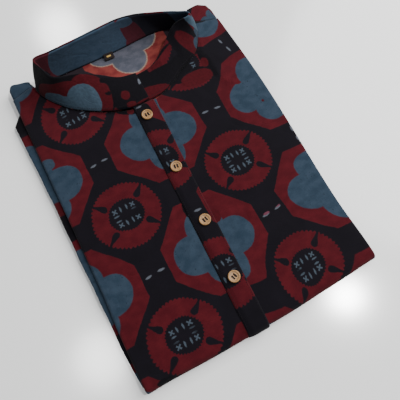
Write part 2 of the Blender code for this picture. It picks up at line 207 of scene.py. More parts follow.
BAND_MIDDLE = 227.0

PLACKET_LAYER = 1.35
PLACKET_TOP_Y = 275.2
PLACKET = ((0.0, -24.5, -0.7), (200.0, -17.6, 7.8), (238.0, -16.3, 10.2), (274.4, -15.0, 11.4))
UNDER_PLACKET = ((0.0, -16.5, -1.6), (215.0, -9.0, 7.8), (246.0, -7.9, 11.2), (274.4, -7.0, 14.4))
UNDER_END_Z = 4.0
UNDER_TAPER = 6.5
SLIT = ((0.0, -12.6), (276.0, -2.2))
SLIT_HALF = 1.2
STRIP_EDGE = (
    # how far an edge of a strip turns down, and how far in, for each column from the edge
    (0.95, 0.25),
    (0.35, 0.0),
    (0.1, 0.0),
    (0.0, 0.0),
)

BUTTON_RADIUS = 6.4
BUTTON_FACE = 1.75
BUTTON_EDGE = 2.6
BUTTON_HOLE_RADIUS = 1.0
BUTTON_HOLE_SPREAD = 1.5
BUTTON_SEAT = 0.1
THREAD_RADIUS = 0.34
THREAD_STRANDS = (-0.48, -0.16, 0.16, 0.48)
BUTTONS = (
    # x, y, turn in degrees
    (-4.6, 259.2, 3.0),
    (-5.0, 187.6, -8.0),
    (-6.3, 120.3, 12.0),
    (-9.1, 54.6, 20.0),
)

SLEEVE_LAYERS = 2.7
SLEEVE_INNER = 122.5
LEFT_SLEEVE_EDGE = (
    # y at the fold, y at the inner edge, x of the fold
    (7.5, 7.5, -135.0),
    (29.0, 29.0, -137.1),
    (77.0, 78.0, -138.4),
    (149.0, 151.0, -138.8),
    (197.0, 200.0, -139.7),
    (269.0, 278.0, -140.5),
    (300.0, 314.0, -142.0),
    (320.5, 345.0, -142.8),
)
RIGHT_SLEEVE_EDGE = (
    # y at the fold, y at the inner edge, x of the fold
    (7.5, 7.5, 129.8),
    (70.0, 70.0, 129.0),
    (100.0, 100.0, 129.6),
    (160.0, 161.0, 132.4),
    (243.0, 246.0, 134.0),
    (300.0, 314.0, 134.0),
    (318.0, 344.0, 133.5),
)
HIDDEN_LAYERS = (
    # top z, left, right, bottom y, top y
    (3.6, -119.0, 120.0, 37.0, 352.0),
    (5.7, -120.5, 118.5, 9.0, 359.0),
    (7.8, -118.0, 121.0, 8.0, 361.0),
    (9.8, -120.0, 119.0, 8.5, 355.0),
    (11.4, -119.0, 120.5, 10.0, 322.0),
)
HIDDEN_BASE = 1.9
HIDDEN_CORNER = 6.0

LABEL_HALF = 6.0
LABEL_X = -9.5

# Creases pressed into the front when it was folded, and the tuck at its upper right.
CREASES = (
    # x, y, x, y of its ends, half width, height
    (128.0, 262.0, 104.0, 284.0, 6.0, -0.6),
    (-122.0, 96.0, -82.0, 112.0, 5.0, -0.5),
    (-118.0, 236.0, -66.0, 262.0, 6.0, 0.45),
    (-104.0, 168.0, -58.0, 150.0, 5.5, -0.4),
    (-40.0, 118.0, -28.0, 168.0, 3.6, 0.45),
    (-34.0, 30.0, -30.0, 92.0, 3.4, -0.4),
    (16.0, 60.0, 22.0, 128.0, 4.0, 0.4),
    (17.1, 221.0, 22.4, 251.8, 2.6, -0.8),
    (86.4, 225.4, 118.8, 238.6, 2.6, 0.8),
    (-116.5, 98.0, -101.2, 102.8, 2.0, -0.7),
    (-128.5, 88.0, -122.0, 104.0, 2.4, 0.4),
    (-48.0, 214.0, -22.0, 236.0, 2.4, -0.7),
    (-44.0, 86.0, -26.0, 112.0, 2.6, 0.7),
    (30.0, 84.0, 38.0, 112.0, 2.6, -0.7),
    (44.0, 98.0, 92.0, 82.0, 6.0, -0.4),
    (60.0, 176.0, 118.0, 196.0, 7.0, 0.5),
    (74.0, 24.0, 124.0, 40.0, 5.0, -0.45),
    (-92.0, 14.0, -50.0, 24.0, 5.0, 0.4),
    (-96.0, 316.0, -112.0, 272.0, 5.0, 0.6),
    (-70.0, 296.0, -88.0, 262.0, 4.0, -0.4),
    (50.0, 286.0, 66.0, 252.0, 4.5, 0.5),
    (86.0, 306.0, 108.0, 292.0, 4.0, 0.5),
    (104.0, 340.0, 126.0, 318.0, 4.5, -0.6),
)
TUCK = (
    # y, x of its edge; the cloth above it laps over the cloth below
    (242.6, 128.5),
    (252.8, 98.9),
    (265.0, 93.9),
    (291.7, 91.7),
    (306.0, 85.0),
)
TUCK_STEP = 1.3
TUCK_FADE = 16.0
CREASE_END = 0.4
RUMPLE = 0.22
TUCK_TURN = 12.7
TUCK_SLIP = (1.3, 2.0)

# The block print's repeat, and where a flower's centre falls on each piece.
REPEAT_X, REPEAT_Y = 140.0, 137.2
FRONT_FLOWER = (-77.0, 27.7)
BACK_FLOWER = (-58.8, 298.9)
LEFT_SHOULDER_FLOWER = (-66.0, 353.9)
PLACKET_FLOWER = (-15.3, 63.4)
PLACKET_REPEAT = 139.4
PRINT_WANDER = (
    # features per mm, reach in mm, detail, offset
    (0.03, 3.4, 1.0, 0.0),
    (0.35, 0.9, 2.0, 40.0),
    (1.6, 0.35, 0.0, 90.0),
)
DRIFT_REACH = 30.0
DRIFT_HOLD = 0.08
DRIFT = (
    # x, y of a block on the front, and how far off it was laid
    (-77.0, 27.7, -2.0, 1.0),
    (63.0, 27.7, -0.7, 2.0),
    (-22.0, 8.0, 0.5, 2.5),
    (24.0, 8.0, 7.0, -9.5),
    (122.0, 30.0, 3.6, 3.6),
    (-77.0, 164.9, 1.8, 0.0),
    (63.0, 164.9, -4.3, -1.0),
    (-77.0, 302.1, -1.0, -1.5),
    (-34.0, 96.3, -1.0, -0.7),
    (24.0, 96.3, -2.4, -1.0),
    (-34.0, 233.5, 0.0, -1.0),
    (12.0, 233.5, -4.2, 0.3),
    (48.0, 233.5, 0.6, 0.3),
    (120.0, 96.3, 0.3, 3.5),
    (120.0, 225.0, 1.0, -2.4),
    (82.0, 246.0, 3.2, -1.0),
    (118.0, 190.0, 2.4, -1.5),
    (88.0, 160.0, -5.0, -1.0),
    (-122.0, 96.3, 0.6, -1.7),
    (-122.0, 228.0, 1.0, -3.0),
    (-122.0, 281.0, 0.0, -5.5),
)
LOBE_SLIPS = (
    # x, y of an octagon in the print, and how much further off its lobes were laid
    (210.0, 205.8, -4.2, -0.4),
    (210.0, 68.6, -2.3, -3.5),
)
UNDER_PLACKET_FLOWER = (-81.6, 196.0)
SLEEVE_FLOWER = (-210.0, 182.7)
BAND_OCTAGON = (76.0, -13.0)
BAND_FLOWER = (395.5, 54.5)
INNER_BAND_OCTAGON = (196.0, 20.0)

# The blocks' own sizes: the octagon, the cloud of lobes in it, the flower, and the small marks.
OCTAGON_HALF = (54.9, 53.0)
OCTAGON_CORNER = (0.736, 0.677, 52.6)
LOBE_OUT = (23.6, 22.8)
LOBE_RADIUS = 21.2
LOBES_MIDDLE_RADIUS = 15.0
FLOWER_RADIUS, FLOWER_SQUASH = 36.1, 1.045
SCALLOPS, SCALLOP_DEPTH = 52, 2.0
HEART_RADIUS, HEART_SQUASH = 20.0, 1.09
HEART_NICKS, HEART_NICK_DEPTH = 36, 1.4
NOTCH_START = (18.6, 15.6)
NOTCH_WAY = (0.745, 0.667)
NOTCH_LENGTH = 24.0
NOTCH_NECK, NOTCH_BULB, NOTCH_TAPER = 0.9, 2.7, -0.018
STAR_PLACE, STAR_REACH, STAR_HALF_WIDTH = (9.7, 7.9), 3.1, 0.75
UPRIGHT_PLACE, UPRIGHT_HALF = (3.3, 8.0), (0.95, 3.0)
LEVEL_PLACE, LEVEL_HALF = (9.8, 2.8), (2.9, 0.95)
LEAF_OUT, LEAF_HALF = 7.3, (3.7, 1.25)

# Where the blocks overlapped or the dye strayed, and two thin dark stripes of painted shadow along edges.
FRONT_BLOTS = (
    # x, y, half width, half height, turn in degrees, dye
    (-20.5, 277.5, 15.0, 5.6, -27.0, "ground"),
    (-17.0, 276.0, 4.6, 5.6, -27.0, "madder"),
    (60.5, 297.0, 9.0, 7.0, 0.0, "ground"),
    (75.0, 285.0, 7.0, 9.0, 40.0, "ground"),
    (89.0, 291.0, 6.0, 20.0, 0.0, "ground"),
    (47.0, 287.0, 8.0, 6.0, -35.0, "ground"),
    (86.0, 293.6, 4.6, 6.0, -20.0, "madder"),
    (50.0, 290.5, 13.0, 5.0, 33.0, "ground"),
    (68.2, 279.0, 19.0, 9.8, 0.0, "madder"),
    # A dark stripe of painted shadow along the front's top edge at the right shoulder seam, where the
    # back's strip laps over it.
    (110.5, 349.5, 9.0, 2.4, -8.0, "ground"),
    (-24.0, 4.0, 5.0, 7.5, 20.0, "madder"),
    (-112.0, -1.0, 9.0, 4.2, -6.0, "ground"),
    (-17.0, 139.5, 3.8, 9.0, 0.0, "ground"),
    (6.5, 121.0, 7.0, 8.0, 0.0, "madder"),
    (-129.0, 260.4, 9.2, 7.6, 0.0, "indigo"),
    (121.6, 218.3, 1.5, 1.5, 0.0, "madder"),
    (57.2, 97.4, 3.4, 1.4, 0.0, "rose"),
    (71.4, 97.6, 2.6, 0.8, 0.0, "rose"),
)
PLACKET_BLOTS = (
    # x, y, half width, half height, turn in degrees, dye
    (-12.0, 279.0, 9.0, 3.2, -20.0, "madder"),
    (-2.4, 262.0, 5.4, 9.0, 0.0, "ground"),
)
BAND_BLOTS = (
    # along the band, up from its seam, half width, half height, turn in degrees, dye
    (14.0, 18.0, 26.0, 26.0, 0.0, "ground"),
    (90.0, 18.0, 60.0, 26.0, 0.0, "ground"),
    (60.0, 15.0, 23.5, 25.0, 0.0, "madder"),
    (88.0, 9.0, 31.0, 21.5, -8.0, "madder"),
    (38.5, 33.0, 8.0, 5.0, 0.0, "ground"),
    (40.0, 20.0, 3.4, 2.6, 20.0, "ground"),
    (44.5, 26.0, 6.8, 5.6, 0.0, "madder"),
    (66.5, 11.0, 17.5, 18.0, -18.0, "washed"),
    (84.0, 4.0, 12.0, 9.5, 0.0, "washed"),
    (96.0, 3.0, 12.6, 12.2, 0.0, "washed"),
    (22.0, 14.5, 4.8, 5.6, 25.0, "madder"),
    (19.5, 2.0, 5.0, 3.8, 0.0, "madder"),
    (7.0, 0.6, 8.0, 1.4, 0.0, "madder"),
    (0.6, 23.6, 1.6, 3.8, 12.0, "pale"),
    (358.0, 16.0, 17.0, 40.0, 0.0, "ground"),
    (396.0, 4.0, 30.0, 13.0, 0.0, "ground"),
    (436.0, 20.0, 17.0, 34.0, 0.0, "ground"),
    (407.0, 26.5, 8.5, 5.0, 20.0, "madder"),
    # A thin dark stripe of painted shadow along the band's free edge, near its front end.
    (389.0, 31.4, 15.0, 1.5, 4.0, "ground"),
    (425.5, 3.4, 20.0, 9.0, 21.0, "madder"),
    (395.0, -2.0, 14.0, 4.5, 0.0, "ground"),
    (408.0, 16.5, 27.0, 8.0, 21.5, "ground"),
    (442.0, 10.0, 5.0, 16.0, 0.0, "ground"),
    (354.5, 12.0, 8.0, 22.0, -16.0, "madder"),
    (334.0, 18.0, 4.6, 26.0, -14.0, "slate"),
    (347.0, 3.5, 5.0, 5.5, 20.0, "indigo"),
)
INNER_BAND_BLOTS = (
    # along the band, up from its seam, half width, half height, turn in degrees, dye
    (253.0, 10.0, 11.5, 26.0, 8.0, "madder"),
    (140.0, 12.0, 9.0, 34.0, 12.0, "madder"),
    (137.0, 4.0, 12.0, 13.0, 20.0, "ground"),
    (163.0, 24.0, 15.0, 24.0, 6.0, "indigo"),
    (228.0, 22.0, 13.0, 30.0, 0.0, "indigo"),
    (249.0, 33.0, 10.0, 7.5, 0.0, "indigo"),
    (285.0, 14.0, 21.0, 34.0, 6.0, "ground"),
    (318.0, 3.0, 7.0, 5.0, 0.0, "madder"),
)
BLOT_SQUARENESS = 2.4
SLEEVE_BLOTS = (
    # x, y, half width, half height, turn in degrees, dye
    (-140.0, 322.0, 9.0, 14.0, 0.0, "ground"),
    (-137.0, 206.0, 8.0, 8.5, 0.0, "madder"),
    (-137.0, 185.5, 8.0, 12.5, 0.0, "ground"),
)


def world(point):
    return (Vector(point) - ORIGIN) * MM


def curve(table, at, column=1):
    """The smooth curve through a table's rows, read where its first column is `at`."""
    at = min(max(at, table[0][0]), table[-1][0])
    last = len(table) - 1
    row = max(k for k in range(last) if table[k][0] <= at)
    (x0, y0), (x1, y1) = ((table[k][0], table[k][column]) for k in (row, row + 1))
    span = x1 - x0

    def slope(k):
        before, after = table[max(k - 1, 0)], table[min(k + 1, last)]
        return (after[column] - before[column]) / (after[0] - before[0])

    t = (at - x0) / span
    ease = t * t * (3 - 2 * t)
    lean = t * (1 - t) * span
    return y0 + (y1 - y0) * ease + lean * ((1 - t) * slope(row) - t * slope(row + 1))


def spaced(start, end, count):
    return [start + (end - start) * k / count for k in range(count + 1)]


def between(low, high, value):
    """0 below low, 1 above high, and an even curve between them."""
    t = min(max((value - low) / (high - low), 0.0), 1.0)
    return t * t * (3 - 2 * t)


def tuck_x(y):
    """The tuck's edge at the upper right of the front, as x for each y."""
    return float(np.interp(y, [row[0] for row in TUCK], [row[1] for row in TUCK]))


def crease_height(x, y):
    """How far the creases lift the front at a point."""
    height = 0.0
    for x0, y0, x1, y1, width, lift in CREASES:
        along = Vector((x1 - x0, y1 - y0))
        share = ((x - x0) * along.x + (y - y0) * along.y) / along.length_squared
        if not -CREASE_END < share < 1 + CREASE_END:
            continue
        off = abs((x - x0) * along.y - (y - y0) * along.x) / along.length
        if off < 3 * width:
            taper = between(-CREASE_END, 0.25, share) * between(-CREASE_END, 0.25, 1 - share)
            height += lift * taper * math.exp(-((off / width) ** 2))
    beyond = x - tuck_x(y)
    if y > TUCK[0][0] and beyond > -1.2:
        lap = between(-1.2, 0.8, beyond) * math.exp(-max(beyond, 0.0) / TUCK_FADE)
        height += TUCK_STEP * between(TUCK[0][0], 256.0, y) * lap
    height += RUMPLE * math.sin(x / 13.0 + y / 29.0) * math.sin(y / 17.0 - x / 41.0 + 1.0)
    placket = 1 - between(14.0, 24.0, abs(x + 6.0 - y * 0.03))
    neck = 1 - between(2.0, 12.0, curve(FRONT_TOP, x) - y)
    return height * (1 - placket) * (1 - 0.8 * neck)


def foot_shift(x, y):
    """How far the bottom fold's line moves a place near it."""
    return curve(FOOT_LINE, x) * (1 - between(0.0, FOOT_REACH, y))


def print_drift(x, y):
    """How far the blocks near a place on the front were laid from their true repeat."""
    weights = [math.exp(-((x - cx) ** 2 + (y - cy) ** 2) / DRIFT_REACH**2) for cx, cy, _, _ in DRIFT]
    total = sum(weights) + DRIFT_HOLD
    return tuple(sum(w * row[k] for w, row in zip(weights, DRIFT)) / total for k in (2, 3))


def settled(point):
    """The stack is thinner towards its edges, its top undulates a little, and creases cross it."""
    x, y, z = point
    side = max(0.0, (abs(x) - THINNING_START) / THINNING_WIDTH)
    foot = max(0.0, 1.0 - y / THINNING_WIDTH)
    thinning = EDGE_THINNING * min(1.0, side * side + foot * foot)
    wave = UNDULATION * math.sin(x / 21.0 + 0.6) * math.sin(y / 33.0)
    inside = min(z, STACK)
    return Vector((x, y + foot_shift(x, y), inside * (1.0 - thinning + wave) + z - inside))


def creased(point):
    """A point of the front or of what lies on it, lifted by the creases near the top."""
    x, y, z = point
    near_top = between(STACK - 5.0, STACK, z)
    return settled((x, y, z + (crease_height(x, y) * near_top if near_top else 0.0)))


# ---------------------------------------------------------------- cloth


def placed(name, data):
    """A new object in the scene that holds this data."""
    made = bpy.data.objects.new(name, data)
    bpy.context.scene.collection.objects.link(made)
    return made


def as_mesh(name, guide):
    """The guide's evaluated shape as a plain mesh object, in place of the guide."""
    graph = bpy.context.evaluated_depsgraph_get()
    mesh = bpy.data.meshes.new_from_object(guide.evaluated_get(graph))
    bpy.data.objects.remove(guide)
    mesh.name = name
    mesh.shade_smooth()
    return placed(name, mesh)


def guide_along(name, lines):
    """A curve object along lines of points in mm."""
    guide = bpy.data.curves.new(name, "CURVE")
    guide.dimensions = "3D"
    for line in lines:
        spline = guide.splines.new("POLY")
        spline.points.add(len(line) - 1)
        for point, corner in zip(spline.points, line):
            point.co = (*world(corner), 1.0)
    return placed(name, guide)


def piece_from(name, corners, faces, uvs, finishes):
    """A mesh object of points in mm, with its print map in repeats."""
    mesh = bpy.data.meshes.new(name)
    mesh.from_pydata([world(p) for p in corners], [], faces)
    for finish in finishes:
        mesh.materials.append(finish)
    layer = mesh.uv_layers.new(name="print")
    index = np.empty(len(mesh.loops), np.int32)
    mesh.loops.foreach_get("vertex_index", index)
    values = np.array(uvs, np.float32)[index]
    layer.data.foreach_set("uv", (values / np.float32(REPEAT_X)).ravel())
    mesh.shade_smooth()
    return placed(name, mesh)


def cloth(name, rows, prints, finishes, wall=CLOTH, skip=lambda row, column: False):
    """A thin wall of cloth. rows[j][i] are points of its print side, prints[j][i] the print there."""
    across = len(rows[0])
    faces = [
        (j * across + i, (j + 1) * across + i, (j + 1) * across + i + 1, j * across + i + 1)
        for j in range(len(rows) - 1)
        for i in range(across - 1)
        if not skip(j, i)
    ]
    used = sorted({corner for face in faces for corner in face})
    place = {corner: k for k, corner in enumerate(used)}
    corners = [point for row in rows for point in row]
    uvs = [uv for row in prints for uv in row]
    made = piece_from(
        name,
        [corners[k] for k in used],
        [tuple(place[k] for k in face) for face in faces],
        [uvs[k] for k in used],
        finishes,
    )
    shell = made.modifiers.new("cloth thickness", "SOLIDIFY")
    shell.thickness = wall * MM
    shell.offset = -1.0
    shell.use_even_offset = True
    shell.thickness_clamp = 1.0
    shell.material_offset = 1
    return made


def finished(piece, node):
    """Hangs the piece on the root body, and hides the imported solid it stands in for, if any."""
    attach(piece, "root")
    if node:
        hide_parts(node)


def side_turn(side):
    """(side, reach, drop, length) round a crease and along the lip turned under, in crease radii."""
    arc = [math.pi * k / 10 for k in range(1, 11)]
    turn = [(side, math.sin(a), 1 - math.cos(a), a) for a in arc]
    lip = LIP / CREASE_RADIUS
    return turn + [(side, -lip * k / 3, 2.0, math.pi + lip * k / 3) for k in (1, 2, 3)]


def fold_point(angle):
    """(y, z, outward y, outward z) on the bottom fold, from 0 on the top to pi underneath."""
    half = (STACK - FOLD_LIFT) / 2
    y = FOLD_REACH * (1 - math.sin(angle))
    z = FOLD_LIFT + half * (1 + math.cos(angle))
    normal = Vector((-math.sin(angle) / FOLD_REACH, math.cos(angle) / half)).normalized()
    return y, z, normal.x, normal.y


def fold_length(angle):
    """The way round the bottom fold to an angle."""
    points = [Vector(fold_point(angle * k / 24)[:2]) for k in range(25)]
    return sum((b - a).length for a, b in zip(points, points[1:]))


def under_z(y):
    """The underside comes down from the bottom fold to lie flat."""
    share = min(max((y - FOLD_REACH) / (FOLD_SPREAD - FOLD_REACH), 0.0), 1.0)
    return FOLD_LIFT * (1 - share) ** 2


def front_columns():
    """(kind, place, drop, length) for each column of the front, from lip to lip."""
    columns = list(reversed(side_turn("left")))
    columns += [("left flat", 1 - k / LEFT_COLUMNS, 0.0, 0.0) for k in range(LEFT_COLUMNS)]
    columns += [("slit", -SLIT_HALF, 0.0, 0.0), ("slit", SLIT_HALF, 0.0, 0.0)]
    columns += [("right flat", k / RIGHT_COLUMNS, 0.0, 0.0) for k in range(1, RIGHT_COLUMNS + 1)]
    return columns + side_turn("right")


def front_place(column, y, radius):
    """x and the print's x of a column at a height on the front."""
    kind, place, _, length = column
    left, right = -curve(LEFT_CREASE, y) + radius, curve(RIGHT_CREASE, y) - radius
    slit = curve(SLIT, y)
    if kind == "slit":
        return slit + place, slit + place
    if kind == "left":
        return left - place * radius, left - length * radius
    if kind == "right":
        return right + place * radius, right + length * radius
    if kind == "left flat":
        x = slit - SLIT_HALF + place * (left - slit + SLIT_HALF)
    else:
        x = slit + SLIT_HALF + place * (right - slit - SLIT_HALF)
    return x, x


def build_front(finishes):
    """The front: its print side up, round the bottom fold and along the underside to the hem."""
    columns = front_columns()
    tops = {c: curve(FRONT_TOP, front_place(c, SHOULDER_Y, CREASE_RADIUS)[0]) for c in columns}
    around = fold_length(math.pi)
    rows, prints = [], []

    def add(radius, place, length):
        row, print_row = [], []
        for column in columns:
            y, z, normal_y, normal_z = place(column)
            drop = column[2] * radius
            x, print_x = front_place(column, y, radius)
            row.append(creased((x, y - drop * normal_y, z - drop * normal_z)))
            under = 2 * foot_shift(x, 0.0) - foot_shift(x, y) if normal_z < 0 else foot_shift(x, y)
            drift_x, drift_y = print_drift(x, length(y))
            print_row.append(
                (print_x - drift_x - FRONT_FLOWER[0], length(y) + under - drift_y - FRONT_FLOWER[1])
            )
        rows.append(row)
        prints.append(print_row)

    for share in spaced(1.0, 0.0, FRONT_ROWS)[:-1]:
        add(
            CREASE_RADIUS,
            lambda c: (FOLD_REACH + (tops[c] - FOLD_REACH) * share, STACK, 0.0, 1.0),
            lambda y: y,
        )
    for angle in spaced(0.0, math.pi, FOLD_ROWS):
        radius = CREASE_RADIUS - FOLD_LIFT / 2 * angle / math.pi
        add(radius, lambda c: fold_point(angle), lambda y: FOLD_REACH - fold_length(angle))
    for y in spaced(FOLD_REACH, FOLD_SPREAD, 8)[1:] + spaced(FOLD_SPREAD, HEM_Y, 40)[1:]:
        radius = CREASE_RADIUS - under_z(y) / 2
        add(
            radius,
            lambda c: (y, under_z(y), 0.0, -1.0),
            lambda y: 2 * FOLD_REACH - around - y,
        )
    slit = [k for k, column in enumerate(columns) if column[0] == "slit"][0]
    slit_rows = FRONT_ROWS + FOLD_ROWS
    made = cloth(
        "front_cloth", rows, prints, finishes, skip=lambda j, i: i == slit and j < slit_rows
    )
    finished(made, "front_panel")


def back_lower_z(x, y):
    """The print side of the back, which faces down. It dips under the shoulder ridges."""
    high = STACK - 1.9 - CLOTH
    low = STACK - 2 * RIDGE_RADIUS
    if abs(x) < NECK_POINT:
        return high
    share = between(330.0, 350.0, y)
    return high + (low - high) * share


def back_column(x):
    """(point, print y) up one column of the back, then over the ridge to the shoulder seam."""
    on_shoulder = abs(x) >= NECK_POINT
    top = curve(BACK_RIDGE, x) - RIDGE_RADIUS if on_shoulder else curve(BACK_NECK, x)
    past = max(0.0, abs(x) - NECK_POINT) * (BACK_HALF - NECK_POINT) / (SHOULDER_HALF - NECK_POINT)
    inside = math.copysign(min(abs(x), NECK_POINT) + past, x)
    ys = spaced(BACK_START_Y, 260.0, 20) + spaced(260.0, top, 32)[1:]
    points = [((inside, y, back_lower_z(x, y)), y) for y in ys]
    if on_shoulder:
        for angle in spaced(math.pi, 0.0, 12)[1:]:
            drop = RIDGE_RADIUS * (1 - math.cos(angle))
            way = top + RIDGE_RADIUS * (math.pi - angle)
            points.append(((x, top + RIDGE_RADIUS * math.sin(angle), STACK - drop), way))
        seam = min(curve(FRONT_TOP, x) + 0.3, top - 0.5)
        way = top + RIDGE_RADIUS * math.pi
        points += [((x, y, STACK), way + top - y) for y in spaced(top, seam, 9)[1:]]
    return points


def back_relief(x, y, z):
    """Light creases across the inside of the back below the neck."""
    fade = 1 - between(NECK_POINT - 12, NECK_POINT, abs(x))
    folds = 0.35 * math.exp(-(((x - 38.0 + (y - 343.0) * 0.5) / 4.0) ** 2))
    folds += 0.3 * math.exp(-(((x + 22.0 - (y - 330.0) * 0.7) / 5.0) ** 2))
    folds -= 0.3 * math.exp(-(((x - 8.0 + (y - 330.0) * 0.4) / 4.0) ** 2))
    return z - 0.35 * fade + folds * fade * between(280.0, 310.0, y)


def build_back(finishes):
    """The back: its wrong side up under the front, and over the shoulders to the seams."""
    left = spaced(-SHOULDER_HALF, -106.0, 10)
    right = spaced(106.0, LEFT_SHOULDER_END, 10)
    columns = [back_column(x) for x in left + spaced(-102.5, 102.5, 76) + right]
    tall, short = max(len(c) for c in columns), min(len(c) for c in columns)
    rows, prints = [], []
    for j in range(tall):
        cells = [c[min(j, len(c) - 1)] for c in columns]
        rows.append(
            [settled((p[0], p[1], back_relief(*p) if j < short else p[2])) for p, _ in cells]
        )
        flowers = [LEFT_SHOULDER_FLOWER if p[0] > NECK_POINT else BACK_FLOWER for p, _ in cells]
        prints.append([(p[0] - f[0], way - f[1]) for (p, way), f in zip(cells, flowers)])
    on_neck = [len(c) == short for c in columns]
    made = cloth(
        "back_cloth",
        rows,
        prints,
        finishes,
        skip=lambda j, i: j >= short - 1 and (on_neck[i] or on_neck[i + 1]),
    )
    finished(made, "back_panel")


def build_sleeve(name, node, edge, side, finishes):
    """The folded edge of a sleeve turned down behind the body: two layers joined at the fold."""
    base = (STACK - SLEEVE_LAYERS) / 2
    radius = SLEEVE_LAYERS / 2
    rows, prints = [], []
    for y in spaced(edge[0][0], edge[-2][0], 90) + spaced(edge[-2][0], edge[-1][0], 8)[1:]:
        inner_y, fold = curve(edge, y, 1), curve(edge, y, 2)
        flat = abs(fold) - radius - SLEEVE_INNER
        sway = 0.35 * math.sin(y / 19.0) + 0.2 * math.sin(y / 7.3 + 1.0)
        stations = [
            (SLEEVE_INNER + flat * k / 5, base + 2 * radius, flat * k / 5) for k in range(6)
        ]
        for angle in spaced(0.0, math.pi, 10)[1:]:
            x = abs(fold) - radius * (1 - math.sin(angle))
            stations.append((x, base + radius * (1 + math.cos(angle)), flat + radius * angle))
        way = flat + radius * math.pi
        stations += [
            (SLEEVE_INNER + flat * (1 - k / 5), base, way + flat * k / 5) for k in range(1, 6)
        ]
        row, print_row = [], []
        for x, z, along in stations:
            share = (abs(fold) - x) / (abs(fold) - SLEEVE_INNER)
            point = (side * (x + sway * (1 - share)), y + (inner_y - y) * share, z)
            row.append(settled(point))
            print_row.append(
                (side * (SLEEVE_INNER + along) - SLEEVE_FLOWER[0], point[1] - SLEEVE_FLOWER[1])
            )
        rows.append(row)
        prints.append(print_row)
    if side > 0:
        rows.reverse()
        prints.reverse()
    made = cloth(name, rows, prints, finishes, wall=THIN_CLOTH)
    finished(made, node)


def build_hidden_layers(finishes):
    """The cloth folded inside: a stack of rounded layers, each edge a little out of line."""
    rings = []
    low = HIDDEN_BASE
    for number, (high, left, right, bottom, top) in enumerate(HIDDEN_LAYERS):
        for share in spaced(0.0, 1.0, 6):
            inset = 1.1 * (1 - math.sin(math.pi * min(max(share, 0.04), 0.96)) ** 0.6)
            rings.append((low + (high - low) * share, inset, left, right, bottom, top, number))
        low = high
    corners, prints, faces = [], [], []
    for z, inset, left, right, bottom, top, number in rings:
        outline = []
        centres = (
            (right, top, -1, -1),
            (left, top, 1, -1),
            (left, bottom, 1, 1),
            (right, bottom, -1, 1),
        )
        for corner, (x, y, in_x, in_y) in enumerate(centres):
            for angle in spaced(corner * math.pi / 2, (corner + 1) * math.pi / 2, 5):
                outline.append(
                    Vector(
                        (
                            x + HIDDEN_CORNER * (in_x + math.cos(angle)),
                            y + HIDDEN_CORNER * (in_y + math.sin(angle)),
                        )
                    )
                )
        path = []
        for a, b in zip(outline, outline[1:] + outline[:1]):
            steps = max(1, round((b - a).length / 6.0))
            path += [a.lerp(b, k / steps) for k in range(steps)]
        middle = Vector(((left + right) / 2, (bottom + top) / 2))
        along = 0.0
        for k, point in enumerate(path):
            along += (point - path[k - 1]).length if k else 0.0
            shift = inset + 0.45 * math.sin(along / 23.0 + 2.1 * number) + 0.45
            direction = Vector((point.x - middle.x, point.y - middle.y))
            if abs(direction.x) / (right - left) > abs(direction.y) / (top - bottom):
                pull = Vector((math.copysign(shift, direction.x), 0.0))
            else:
                pull = Vector((0.0, math.copysign(shift, direction.y)))
            moved = point - pull
            corners.append(settled((moved.x, moved.y, z)))
            prints.append((moved.x + 31.0 * number + z * 3, moved.y + 57.0 * number + z * 3))
    count = len(corners) // len(rings)
    for ring in range(len(rings) - 1):
        for k in range(count):
            here, onward = ring * count + k, ring * count + (k + 1) % count
            faces.append((here, onward, onward + count, here + count))
    faces.append(tuple(reversed(range(count))))
    faces.append(tuple(range(len(corners) - count, len(corners))))
    made = piece_from("folded_layers_cloth", corners, faces, prints, finishes[:1])
    made.data.set_sharp_from_angle(angle=math.radians(60))
    finished(made, "folded_layers")


def placket_strip(name, node, edges, lift_at, across, last_angle, under, flower, finishes):
    """A strip laid on the front from the neckline down, and round the bottom fold."""
    places = [(y, STACK, 0.0, 1.0, y) for y in spaced(PLACKET_TOP_Y, FOLD_REACH, 96)[:-1]]
    for angle in spaced(0.0, last_angle, 14):
        places.append((*fold_point(angle), FOLD_REACH - fold_length(angle)))
    places += [(y, under_z(y), 0.0, -1.0, 2 * FOLD_REACH - fold_length(math.pi) - y) for y in under]
    rows, prints = [], []
    for y, z, normal_y, normal_z, way in places:
        left, right = curve(edges, y, 1), curve(edges, y, 2)
        row, print_row = [], []
        for k in range(across + 1):
            x = left + (right - left) * k / across
            edge = min(k, across - k)
            inward, phase = (1, 0) if k < across / 2 else (-1, 2)
            turned, drawn_in = STRIP_EDGE[min(edge, len(STRIP_EDGE) - 1)]
            x += drawn_in * inward
            pucker = 0.12 * math.sin(y / 2.9 + phase) * math.exp(-edge / 2.5)
            pressed = 0.68 + 0.32 * between(STACK - 7.0, STACK, z)
            h = (lift_at(x, y, z) - turned) * pressed + pucker
            row.append(creased((x, y + h * normal_y, z + h * normal_z)))
            up = (way - flower[1]) * REPEAT_Y / PLACKET_REPEAT
            print_row.append((x - flower[0], up))
        rows.append(row)
        prints.append(print_row)
    made = cloth(name, rows, prints, finishes, wall=THIN_CLOTH)
    finished(made, node)


def under_lift(x, y, z):
    """The under placket lies one layer up on the front."""
    return PLACKET_LAYER


def upper_lift(x, y, z):
    """Over the under placket, down to the front beside it, and below where it ends."""
    beside = between(-7.0, -1.0, x - curve(UNDER_PLACKET, y, 1))
    above = min(max((z - UNDER_END_Z) / UNDER_TAPER, 0.0), 1.0)
    return PLACKET_LAYER + PLACKET_LAYER * beside * above


def build_plackets(upper_finishes, under_finishes):
    """The under placket lies on the front, and the upper one laps over both."""
    placket_strip(
        "placket_under_cloth",
        "placket_under",
        UNDER_PLACKET,
        under_lift,
        12,
        math.pi * 3 / 8,
        (),
        UNDER_PLACKET_FLOWER,
        under_finishes,
    )
    placket_strip(
        "placket_upper_cloth",
        "placket_upper",
        PLACKET,
        upper_lift,
        22,
        math.pi,
        (9.0, 10.5),
        PLACKET_FLOWER,
        upper_finishes,
    )


